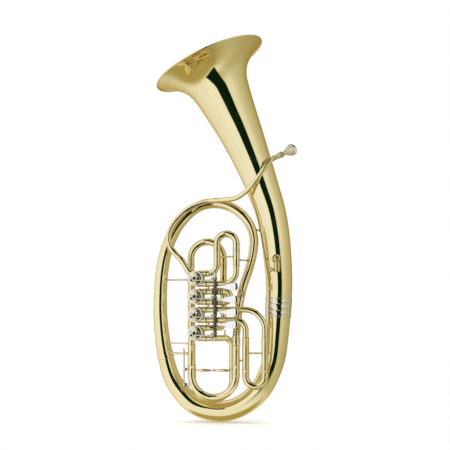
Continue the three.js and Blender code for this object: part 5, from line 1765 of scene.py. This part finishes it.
    def add_hinge(self) -> None:
        """The water key's post on the main slide, with its pin and screw."""
        lay, pin = self.layout, 5.2
        pivot = at(self.key_x + self.key_pivot_offset, lay.plane_y, self.key_pivot)
        reach = RIGHT * (lay.line_x - lay.main_sleeve + lay.wall - pivot[0])
        self.rings([oval(pivot + reach * share, BACK, UP, *size, 4) for share, *size in self.hinge_sections])
        self.turned(puck(0, 1.2, -pin, pin, 0.25), pivot, BACK, 20, 1)
        self.turned([(0, 5.0), (2.0, 5.0), (2.0, 5.8), (1.5, 6.2), (0, 6.3)], pivot, FRONT, 24, 1)

    def build_key(self) -> None:
        """The water key: a slim bar with a finger pad, two ears on the hinge and a cork."""
        lay, x, top, pivot, cork = self.layout, self.key_x, self.key_top, self.key_pivot, self.key_cork
        rings = []
        for z, half, thick, lean in (
            (top, 1.6, 0.6, -0.6), (top - 0.8, 2.8, 1.0, -0.6), (top - 3.5, 3.8, 1.15, -0.4),
            (top - 8, 3.4, 1.15, 0.0), (top - 14, 2.4, 1.2, 0.0), (top - 26, 2.1, 1.2, 0.0),
            (pivot + 8, 2.3, 1.2, 0.0), (pivot + 4, 3.6, 1.3, 0.0), (pivot - 4, 3.6, 1.3, 0.0),
            (pivot - 9, 2.4, 1.2, 0.0), (cork + 10, 2.3, 1.2, 0.0), (cork + 4.6, 3.0, 1.2, 0.0),
            (cork + 1, 3.9, 1.2, 0.0), (cork - 2, 3.6, 1.2, 0.0), (cork - 4, 1.8, 0.8, 0.0),
        ):
            rings.append(oval(at(x + lean, lay.plane_y, z), BACK, RIGHT, half, thick, 3.4))
        self.rings(rings)
        end = self.key_standoff - self.nipple_length - lay.gap
        seat = at(x, lay.plane_y, cork)
        self.turned([(0, 0.3), (3.9, 0.3), (4.0, 0.8), (4.0, 2.2), (3.6, 2.5), (0, 2.5)], seat, RIGHT, 32)
        pad = [(0, 2.3), (3.5, 2.3), (3.6, 2.7), (3.6, end - 0.3), (3.3, end), (0, end)]
        self.turned(pad, seat, RIGHT, 32, 1)
        reach, nose, half = self.key_pivot_offset, self.key_pivot_offset + 3.0, self.ear_thickness / 2
        ear = [(0, -3), (reach, -3), (nose - 0.9, -2.1), (nose, 0), (nose - 0.9, 2.1), (reach, 3), (0, 3)]
        for side in (1, -1):
            y = lay.plane_y + side * (2.8 + half) - half
            self.plate([at(x + along, y, pivot + rise) for along, rise in ear], BACK * self.ear_thickness)
        self.piece("water_key_bar", ["water_key"], [NICKEL, CORK], "water_key", bevel=0.15)


# Leadpipe and mouthpiece


@dataclass
class LeadpipeAssembly(Braced):
    """The leadpipe with its saddles, the receiver and the mouthpiece."""

    start_radius: float = 6.0
    end_radius: float = 4.5
    wall: float = 0.6
    saddle_shares: Sequence[Triple] = ((0.5, 0.45, 0.75), (0.83, 0.05, 0.45))
    receiver_length: float = 42.0
    collar: float = 13.0
    shank_inserted: float = 22.0
    shank_visible: float = 13.0
    cup: float = 36.0
    rim: float = 12.4
    bore: float = 2.1
    bowl_mouth: float = 9.6
    bowl_radius: float = 8.8
    bowl_lip: float = 0.5
    bowl_depth_share: float = 0.9
    throat_share: float = 0.95
    cup_shares: Outline = (
        (0, 0.93), (0.03, 1), (0.12, 1), (0.17, 0.86), (0.35, 0.79), (0.55, 0.62), (0.75, 0.46), (0.9, 0.4),
        (1.0, 0.383),
    )
    bowl_shares: Outline = ((0, 1), (0.05, 0.985), (0.18, 0.9), (0.45, 0.6), (0.8, 0.26), (0.9, 0.24))
    shares: Sequence[Triple] = (
        (-0.106, 0.92, 0.4425), (-0.1225, 0.84, 0.4585), (-0.1368, 0.78, 0.476), (-0.1432, 0.74, 0.494),
        (-0.143, 0.7, 0.513), (-0.1362, 0.62, 0.533), (-0.1215, 0.52, 0.5565), (-0.0955, 0.47, 0.582),
        (-0.0615, 0.45, 0.5985), (-0.0275, 0.46, 0.6065), (0.008, 0.52, 0.608), (0.0415, 0.68, 0.611),
        (0.0625, 0.86, 0.6205), (0.0815, 1.03, 0.635), (0.0975, 1.17, 0.651), (0.113, 1.24, 0.67),
        (0.127, 1.24, 0.6905), (0.1385, 1.14, 0.7055),
    )
    end_shares: Triple = (0.14634, 0.95, 0.7163)
    heading_shares: Triple = (0.3707, 0.8664, 0.3345)

    @property
    def axis(self) -> Point:
        """The way the mouthpiece points."""
        return unit(at(*self.heading_shares))

    @property
    def receiver_start(self) -> Point:
        """Where the leadpipe ends in the receiver."""
        return self.layout.scaled(*self.end_shares)

    def build(self) -> None:
        """Builds and dresses the three pieces."""
        self.build_pipe()
        self.build_receiver()
        self.build_mouthpiece()

    def build_pipe(self) -> None:
        """The tapered pipe, with a ferrule at its foot and two saddles to the body."""
        lay, wide, narrow = self.layout, self.start_radius, self.end_radius
        slant, ferrule_end = unit(UP - RIGHT), 10.2
        foot = lay.valve(0) + slant * (lay.pitch / 2 + lay.gap)
        points = [
            foot + slant * lay.tube, *(lay.scaled(*share) for share in self.shares),
            self.receiver_start - self.axis * 5.4,
        ]
        route = Route([foot, *flowing(points, 10), self.receiver_start])
        full = route.length
        profile = [
            (0, wide + 0.3), (0.4, wide + 0.8), (9.0, wide + 0.8), (9.6, wide + 0.4), (ferrule_end, wide),
        ]
        for place in spread(ferrule_end, full, 60)[1:]:
            profile.append((place, wide + (narrow - wide) * place / full))
        self.sweep(route, profile, 36, inner=[(0, wide - self.wall), (full, narrow - self.wall)])
        for share, low, high in self.saddle_shares:
            self.add_saddle(route.frame(share * full)[0], wide + (narrow - wide) * share, (low, high))
        self.piece("leadpipe_skin", ["leadpipe"])

    def add_saddle(self, start: Point, pipe: float, shares: Pair) -> None:
        """A saddle from the pipe to the nearest place of the body.

        Args:
            start: Middle of the pipe.
            pipe: The pipe's radius there.
            shares: Shares of the body's length between which it is sought.
        """
        body, pipe_sunk, body_sunk = self.body, 0.7, 0.4
        places = [share * body.line.length for share in spread(*shares, 200)]
        nearest = min(places, key=lambda place: span(start, body.centre(place)) - body.radius(place))
        heading = unit(body.centre(nearest) - start)
        begin = start + heading * (pipe - pipe_sunk)
        length = span(begin, body.centre(nearest) - heading * (body.radius(nearest) - body_sunk))
        outline = [(0, 0), (3.4, 0), (3.0, 0.6)]
        if length > 4:
            outline += [(2.1, 1.4), (1.9, length / 2), (2.1, length - 1.6)]
        outline += [(3.2, length - 0.7), (3.6, length), (0, length)]
        self.turned(outline, begin, heading, 28)

    def build_receiver(self) -> None:
        """The receiver: a tapered sleeve with beads and a bronze collar at its mouth."""
        full, gap, bronze_start = self.receiver_length, self.layout.gap, 2.4
        edge = full - self.collar
        outline = [
            (4.2, gap), (5.1, gap), (5.5, gap + 0.5), (5.5, gap + 2.2), (5.0, gap + 2.8), (5.1, edge - 3.4),
            (5.5, edge - 2.8), (5.5, edge - 1.2), (5.4, edge), (6.0, edge), (6.3, edge + 0.6),
            (6.3, edge + bronze_start), (5.7, edge + 3.0), (5.6, full - 5.2), (6.0, full - 4.6),
            (6.3, full - 3.8), (6.3, full - 0.6), (6.0, full), (4.25, full), (4.0, edge),
        ]
        self.turned(outline, self.receiver_start, self.axis, 44)
        for i, face in enumerate(self.faces):
            middle = sum(self.verts[k] for k in face) / len(face)
            self.marks[i] = int((middle - self.receiver_start) @ self.axis > edge + bronze_start)
        self.piece("receiver_sleeve", ["mouthpiece_receiver"], [NICKEL, BRONZE])

    def build_mouthpiece(self) -> None:
        """The mouthpiece: shank, cup with its beads, rounded rim and the bowl."""
        shank = self.shank_inserted + self.shank_visible
        full = shank + self.cup
        outline = [(self.bore, 0), (3.2, 0), (3.4, 0.3), (3.9, self.shank_inserted), (4.75, shank)]
        for share in spread(1.0, 0.0, 40):
            outline.append((self.rim * eased(self.cup_shares, share), full - share * self.cup))
        outline.append((self.bowl_mouth, full))
        for share in spread(0.0, self.bowl_depth_share, 19):
            radius = self.bowl_radius * eased(self.bowl_shares, share)
            outline.append((radius, full - self.bowl_lip - share * self.cup))
        outline.append((self.bore, full - self.throat_share * self.cup))
        foot = self.receiver_start + self.axis * (self.receiver_length - self.shank_inserted)
        self.turned(outline, foot, self.axis, 72)
        self.piece("mouthpiece_cup", ["mouthpiece"], [SILVER], "mouthpiece")


# Braces and lyre holder


@dataclass
class Fittings(Braced):
    """Braces between pieces, the holder for a music lyre and the finger stud."""

    slides: Slides
    bell_shares: Pair = (0.05, 0.32)
    branch_shares: Pair = (0.82, 0.98)
    bell_brace: float = 392.5
    bell_brace_radius: float = 1.7
    slide_brace: float = 329.5
    loop_drop: float = 30.9
    holder_z: float = 331.5
    post: float = 17.0
    block: float = 12.0
    neck: float = 3.0
    socket: float = 5.2
    barrel_inset: float = 2.0
    barrel_end: float = 4.6
    barrel_swell: float = 2.2
    foot_outline: Outline = (
        (0, -4.5), (9.6, -4.5), (10.0, -4.0), (10.0, 1.6), (9.5, 2.2), (8.3, 2.4), (7.6, 2.0), (5.2, 2.0),
        (4.2, 2.6), (3.4, 4.0), (0, 4.4),
    )
    stud_offset: float = 18.0
    stud_sunk: float = 0.5
    stud_outline: Outline = (
        (0, 0), (4.2, 0), (4.4, 0.5), (4.0, 1.0), (2.2, 1.6), (1.4, 2.8), (1.3, 8.4), (1.9, 9.0), (2.2, 9.8),
        (2.0, 10.6), (1.2, 11.0), (0, 11.1),
    )

    def build(self) -> None:
        """Builds and dresses the stud, the braces and the holder."""
        lay, slides = self.layout, self.slides
        port = lay.port(3, -1)
        foot = at(lay.axle_x + self.stud_offset, port[1], port[2] + lay.tube - self.stud_sunk)
        self.turned(self.stud_outline, foot, UP, 36)
        self.piece("finger_stud", [], [NICKEL])
        self.build_bell_brace()
        leg = at(slides.one_left + slides.one_width, lay.plane_y, self.slide_brace)
        self.body_stay(leg, lay.sleeve, self.branch_shares, lay.stay)
        self.piece("slide_1_stay", ["slide_branch_brace"], [WORN_AND_SHADED_BRASS])
        leg = at(slides.loop_right - slides.loop_width, slides.loop_y, slides.loop_top - self.loop_drop)
        self.body_stay(leg, lay.sleeve, slides.brace_shares, lay.stay)
        self.piece("slide_4_stay", ["loop_branch_brace"], [WORN_AND_SHADED_BRASS])
        self.build_holder()

    def build_bell_brace(self) -> None:
        """The brace between the bell and the branch."""
        body, sunk = self.body, 0.5
        branch = body.place_at(self.bell_brace, self.branch_shares)
        bell = body.place_at(self.bell_brace, self.bell_shares)
        start = body.centre(branch) + RIGHT * (body.radius(branch) - sunk)
        end = body.centre(bell) - RIGHT * (body.radius(bell) - sunk)
        self.stay(start, end, self.bell_brace_radius, 2.4)
        self.piece("bell_stay", ["bell_branch_brace"], [WORN_AND_SHADED_BRASS])

    def build_holder(self) -> None:
        """The lyre holder: foot plate, neck and square-holed barrel, and its thumb screw."""
        place = self.body.place_at(self.holder_z, self.bell_shares)
        foot = self.body.centre(place) + FRONT * self.body.radius(place)
        centre = foot + at(2.0, -self.block, -self.post)
        self.turned(self.foot_outline, foot, FRONT, 56)
        top = centre + UP * self.block / 2
        neck = [foot + FRONT * 1.5, foot + FRONT * 5.5 + DOWN * 1.5, top + UP * 1.2 + BACK * 2.4, top]
        route = Route(flowing(neck, 10))
        self.sweep(route, [(0, self.neck), (route.length, self.neck)], 28)
        self.add_barrel(centre)
        # The barrel takes the darker brass as painted shade, for contrast beside the bell.
        self.piece("lyre_barrel", ["lyre_holder"], [WORN_AND_SHADED_BRASS])
        self.build_thumb_screw(centre + DOWN * 5.5)

    def add_barrel(self, centre: Point) -> None:
        """The swelling barrel with its square socket.

        Args:
            centre: The barrel's middle.
        """
        half, sides, swell_power = self.block - self.barrel_inset, 48, 0.7
        rings = []
        for degrees in range(-90, 91, 9):
            angle = math.radians(degrees)
            radius = self.barrel_end + self.barrel_swell * max(0.0, math.cos(angle)) ** swell_power
            rings.append(circle(centre + UP * half * math.sin(angle), RIGHT, BACK, radius, sides))
        for height in (half, -half):
            ring = []
            for angle in turns(sides):
                reach = self.socket / 2 / max(abs(math.cos(angle)), abs(math.sin(angle)))
                ring.append(centre + at(reach * math.cos(angle), reach * math.sin(angle), height))
            rings.append(ring)
        self.rings(rings, loop=True)

    def build_thumb_screw(self, seat: Point) -> None:
        """The thumb screw with its round knob.

        Args:
            seat: Where it enters the barrel.
        """
        side = self.socket / 2
        reach = 7.5 - side
        outline = [(0, 0), (1.9, 0), (2.0, 0.3), (2.0, reach), (3.0, reach), (3.2, reach + 0.8)]
        for degrees in spread(-62.0, 90.0, 12)[:-1]:
            angle = math.radians(degrees)
            outline.append((5.5 * math.cos(angle), reach + 4.7 + 3.6 * math.sin(angle)))
        outline.append((0, reach + 8.0))
        self.turned(outline, seat - RIGHT * (side + 0.3), -RIGHT, 40)
        self.piece("lyre_thumb_screw", ["lyre_screw"], body="lyre_screw")


# Studio


@dataclass
class Studio:
    """Camera, world, lamps and floor for the picture, with lamps and floor in metres."""

    azimuth: float = 8.0
    elevation: float = -5.0
    distance: float = 2200.0
    target: Triple = (6.2, 0.0, 404.4)
    lens: float = 84.6
    sensor: float = 36.0
    view_depth: float = 20.0
    warm: Triple = (1.0, 0.90, 0.48)
    walls: Sequence[Triple] = (
        (-180, 0.56, 0.4), (-160, 0.78, 0.0), (-120, 0.90, -0.1), (-53, 0.98, -0.14), (-51, 0.72, 0.0),
        (-49, 1.0, -0.14), (-20, 1.0, -0.14), (29, 0.84, 0.0), (42, 0.92, 0.0), (56, 0.86, 0.1),
        (66, 0.76, 0.25), (84, 0.66, 0.4), (107, 0.60, 0.55), (136, 0.52, 0.65), (160, 0.50, 0.65),
        (180, 0.56, 0.4),
    )
    ceiling: Sequence[Triple] = (
        (-90, 0.85, 0.0), (0, 0.95, 0.0), (58, 0.84, 0.1), (76, 0.50, 0.8), (90, 0.42, 1.2),
    )
    overhead: Sequence[Triple] = (
        (-90, 1.0, 0.0), (-75, 1.0, 0.0), (-50, 0.0, 0.0), (50, 0.0, 0.0), (72, 1.0, 0.0), (90, 1.0, 0.0),
    )
    dimming: Sequence[Triple] = (
        (-90, 0.44, 1.8), (-66, 0.50, 1.5), (-57, 0.58, 1.0), (-50, 0.88, 0.4), (-44, 0.98, 0.1),
        (-38, 1.0, 0.0), (90, 1.0, 0.0),
    )
    shade_sides: Sequence[Triple] = (
        (-180, 0.0, 0.0), (26, 0.0, 0.0), (32, 1.0, 0.0), (60, 0.7, 0.0), (100, 0.45, 0.0), (150, 0.2, 0.0),
        (180, 0.0, 0.0),
    )
    shade_heights: Sequence[Triple] = (
        (-90, 0.0, 0.0), (-36, 0.0, 0.0), (-24, 1.0, 0.0), (-12, 1.0, 0.0), (9, 0.0, 0.0), (90, 0.0, 0.0),
    )
    shade_tint: Triple = (0.70, 0.66, 0.43)
    panels: Sequence[tuple[Pair, Pair]] = (((-7.0, 30.0), (-50.0, 62.0)), ((-15.0, -5.0), (22.0, 60.0)))
    panel_green: Triple = (0.002, 0.014, 0.005)
    panel_edge: float = 0.02
    soft_light: Triple = (0.86, 0.86, 0.85)
    lamp_target: Triple = (0.0, 0.0, 0.35)
    lamp_plan: Sequence[tuple[str, Triple, float, float]] = (
        ("key_lamp", (-1.6, -1.7, 1.9), 1.4, 22.0), ("fill_lamp", (1.9, -1.5, 1.4), 1.4, 14.0),
        ("top_lamp", (0.0, 0.3, 2.6), 1.8, 26.0),
    )
    floor_radius: float = 0.5
    floor_height: float = -0.0006
    floor_rings: int = 24
    floor_sides: int = 96
    floor_tones: tuple[Triple, Triple] = ((0.93, 0.93, 0.92), (0.96, 0.96, 0.955))
    floor_grain: float = 60.0
    floor_roughness: float = 0.9
    floor_specular: float = 0.1
    fade_shares: Pair = (0.35, 0.98)
    # Painted reflection of the floor: grazing limits, the span in x where painted shade darkens it, the olive
    # seen steeply, and its white and shaded tones.
    grazing: Pair = (0.15, 0.30)
    painted_falloff: Pair = (0.06, 0.20)
    steep_painted_shade: Triple = (0.47, 0.385, 0.14)
    painted_reflection_tones: tuple[Triple, Triple] = ((0.96, 0.96, 0.96), (0.60, 0.57, 0.36))

    def build(self) -> None:
        """Sets up the studio."""
        self.camera()
        self.world()
        self.lamps()
        self.floor()
        bpy.context.scene.view_settings.view_transform = "Standard"

    @staticmethod
    def place(name: str, data: bpy.types.ID, location: Vector, back: Vector) -> bpy.types.Object:
        """Puts a camera or lamp in the scene.

        Args:
            name: Its name.
            data: Its data.
            location: Where it stands, in metres.
            back: The way from what it points at to it.

        Returns:
            The new object.
        """
        thing = bpy.data.objects.new(name, data)
        thing.location = location
        thing.rotation_euler = (-back).to_track_quat("-Z", "Y").to_euler()
        bpy.context.scene.collection.objects.link(thing)
        return thing

    def camera(self) -> None:
        """The camera at the photograph's angle."""
        data = bpy.data.cameras.new("camera")
        data.lens = self.lens
        data.sensor_width = self.sensor
        data.clip_end = self.view_depth
        turn, lift = math.radians(self.azimuth), math.radians(self.elevation)
        back = Vector((math.sin(turn) * math.cos(lift), -math.cos(turn) * math.cos(lift), math.sin(lift)))
        location = (Vector(self.target) + back * self.distance) * MM
        bpy.context.scene.camera = self.place("camera", data, location, back)

    def lamps(self) -> None:
        """Two large soft lamps in front and one above, which light the floor and soften the shadow."""
        for name, location, size, power in self.lamp_plan:
            data = bpy.data.lights.new(name, "AREA")
            data.shape = "SQUARE"
            data.size = size
            data.energy = power
            lamp = self.place(name, data, Vector(location), Vector(location) - Vector(self.lamp_target))
            lamp.visible_camera = False
            lamp.visible_glossy = False

    def ramp(self, tree: Tree, share: Socket, stops: Sequence[Triple]) -> Socket:
        """A ramp of light over an angle.

        Args:
            tree: The tree to fill.
            share: The angle as a share of all that the stops span.
            stops: Angle in degrees, level and share of the warm tint of each stop.

        Returns:
            The colour's socket.
        """
        node = tree.nodes.new("ShaderNodeValToRGB")
        tree.feed(node.inputs, {"Fac": share})
        reach = stops[-1][0] - stops[0][0]
        elements = node.color_ramp.elements
        for angle, _, _ in stops[1:-1]:
            elements.new(0.5 + angle / reach)
        for element, (_, level, warmth) in zip(elements, stops):
            element.color = (*(level * tint**warmth for tint in self.warm), 1)
        return node.outputs["Color"]

    def panel(self, tree: Tree, side: Socket, ahead: Socket, lift: Socket) -> Socket:
        """Where the dark panel and its arm stand, as a mask.

        Args:
            tree: The tree to fill.
            side: How far the view turns right.
            ahead: How far it points to the front.
            lift: Its angle above the horizon.

        Returns:
            The mask's socket.
        """
        patches = []
        for sides, heights in self.panels:
            left, right = (math.sin(math.radians(angle)) for angle in sides)
            low, high = (math.radians(angle) for angle in heights)
            patch = None
            for value, edge, softness in (
                (side, left, self.panel_edge), (side, right, -self.panel_edge), (ahead, 0.0, self.panel_edge),
                (lift, low, self.panel_edge), (lift, high, -self.panel_edge),
            ):
                step = tree.maths("MULTIPLY_ADD", value, 1 / softness, 0.5 - edge / softness, clamp=True)
                patch = step if patch is None else tree.maths("MULTIPLY", patch, step)
            patches.append(patch)
        return tree.maths("MAXIMUM", *patches)

    def world(self) -> None:
        """A white studio, with a dark green panel behind the camera that only reflections meet."""
        world = bpy.data.worlds.new("studio")
        bpy.context.scene.world = world
        world.use_nodes = True
        tree = Tree(world.node_tree)
        tree.nodes.clear()
        view = tree.add("SeparateXYZ", {"Vector": tree.add("TexCoord", {})["Generated"]})
        ahead = tree.maths("MULTIPLY", view["Y"], -1.0)
        turn = tree.maths("ARCTAN2", view["X"], ahead)
        lift = tree.maths("ARCSINE", view["Z"])
        side = tree.maths("MULTIPLY_ADD", turn, 0.5 / math.pi, 0.5)
        height = tree.maths("MULTIPLY_ADD", lift, 1 / math.pi, 0.5)
        walls, aside = (self.ramp(tree, side, stops) for stops in (self.walls, self.shade_sides))
        ceiling, overhead, dimming, level = (
            self.ramp(tree, height, stops)
            for stops in (self.ceiling, self.overhead, self.dimming, self.shade_heights)
        )
        room = tree.mix(1.0, tree.mix(overhead, walls, ceiling), dimming, "MULTIPLY")
        corner = tree.maths("MULTIPLY", aside, level)
        shaded = tree.mix(corner, room, (*self.shade_tint, 1), "MULTIPLY")
        hung = tree.mix(self.panel(tree, view["X"], ahead, lift), shaded, (*self.panel_green, 1))
        colours = ((1, 1, 1, 1), hung, (*self.soft_light, 1))
        shown, reflected, soft = (tree.add("Background", {"Color": colour})[0] for colour in colours)
        rays = tree.add("LightPath", {})
        shiny = tree.maths("MAXIMUM", rays["Is Glossy Ray"], rays["Is Transmission Ray"])
        light = tree.either(rays["Is Camera Ray"], tree.either(shiny, soft, reflected), shown)
        tree.add("OutputWorld", {"Surface": light})

    def floor(self) -> None:
        """A pale round floor that fades out into the background and keeps the shadow."""
        sides = self.floor_sides
        verts = [(0.0, 0.0, self.floor_height)]
        for radius in spread(0.0, self.floor_radius, self.floor_rings)[1:]:
            verts += [(radius * math.cos(a), radius * math.sin(a), self.floor_height) for a in turns(sides)]
        faces = [(0, 1 + k, 1 + (k + 1) % sides) for k in range(sides)]
        for base in range(1, len(verts) - sides, sides):
            for k in range(sides):
                n = (k + 1) % sides
                faces.append((base + k, base + sides + k, base + sides + n, base + n))
        mesh = bpy.data.meshes.new("studio_floor")
        mesh.from_pydata(verts, [], faces)
        mesh.materials.append(self.floor_material())
        floor = bpy.data.objects.new("studio_floor", mesh)
        bpy.context.scene.collection.objects.link(floor)

    def floor_material(self) -> bpy.types.Material:
        """The floor, pale to the camera; reflections see a painted glow, olive below and white towards the
        horizon.

        Returns:
            The material.
        """
        material = bpy.data.materials.new("pale_floor")
        material.use_nodes = True
        tree = Tree(material.node_tree)
        place = tree.add("TexCoord", {})["Object"]
        shader = tree.nodes["Principled BSDF"]
        tint = tree.mix(tree.noise(place, self.floor_grain), *((*tone, 1) for tone in self.floor_tones))
        plain = {"Roughness": self.floor_roughness, "Specular IOR Level": self.floor_specular}
        tree.feed(shader.inputs, {**plain, "Base Color": tint})
        reach = tree.add("VectorMath", {0: place}, operation="LENGTH")["Value"]
        limits = tuple(self.floor_radius * share for share in self.fade_shares)
        fade = tree.between(reach, limits, smooth=True)
        # Reflections see an emission instead of the floor: a painted glow, olive when steep and white when
        # grazing, darker towards +x as painted shade.
        slope = tree.add("LayerWeight", {"Blend": 0.5})["Facing"]
        painted_falloff = tree.between(tree.add("SeparateXYZ", {"Vector": place})["X"], self.painted_falloff, smooth=True)
        painted_reflection_tones = tree.mix(painted_falloff, *((*tone, 1) for tone in self.painted_reflection_tones))
        painted_glow = tree.mix(tree.between(slope, self.grazing, smooth=True), (*self.steep_painted_shade, 1), painted_reflection_tones)
        reflected = tree.add("Emission", {"Color": painted_glow})[0]
        seen = tree.either(tree.add("LightPath", {})["Is Glossy Ray"], shader.outputs[0], reflected)
        clear = tree.add("BsdfTransparent", {})[0]
        tree.feed(tree.nodes["Material Output"].inputs, {"Surface": tree.either(fade, seen, clear)})
        return material


def main() -> None:
    """Builds the studio, then the instrument's sub-assemblies in order."""
    logging.basicConfig(level=logging.INFO, format="%(name)s: %(message)s")
    layout = Layout()
    Studio().build()
    body = BodyTube(layout)
    body.build()
    for index in range(4):
        Valve(layout, index).build()
        Lever(layout, index).build()
    Axle(layout).build()
    slides = Slides(layout, body)
    slides.build()
    LeadpipeAssembly(layout, body).build()
    Fittings(layout, body, slides).build()


if __name__ == "__main__":
    main()
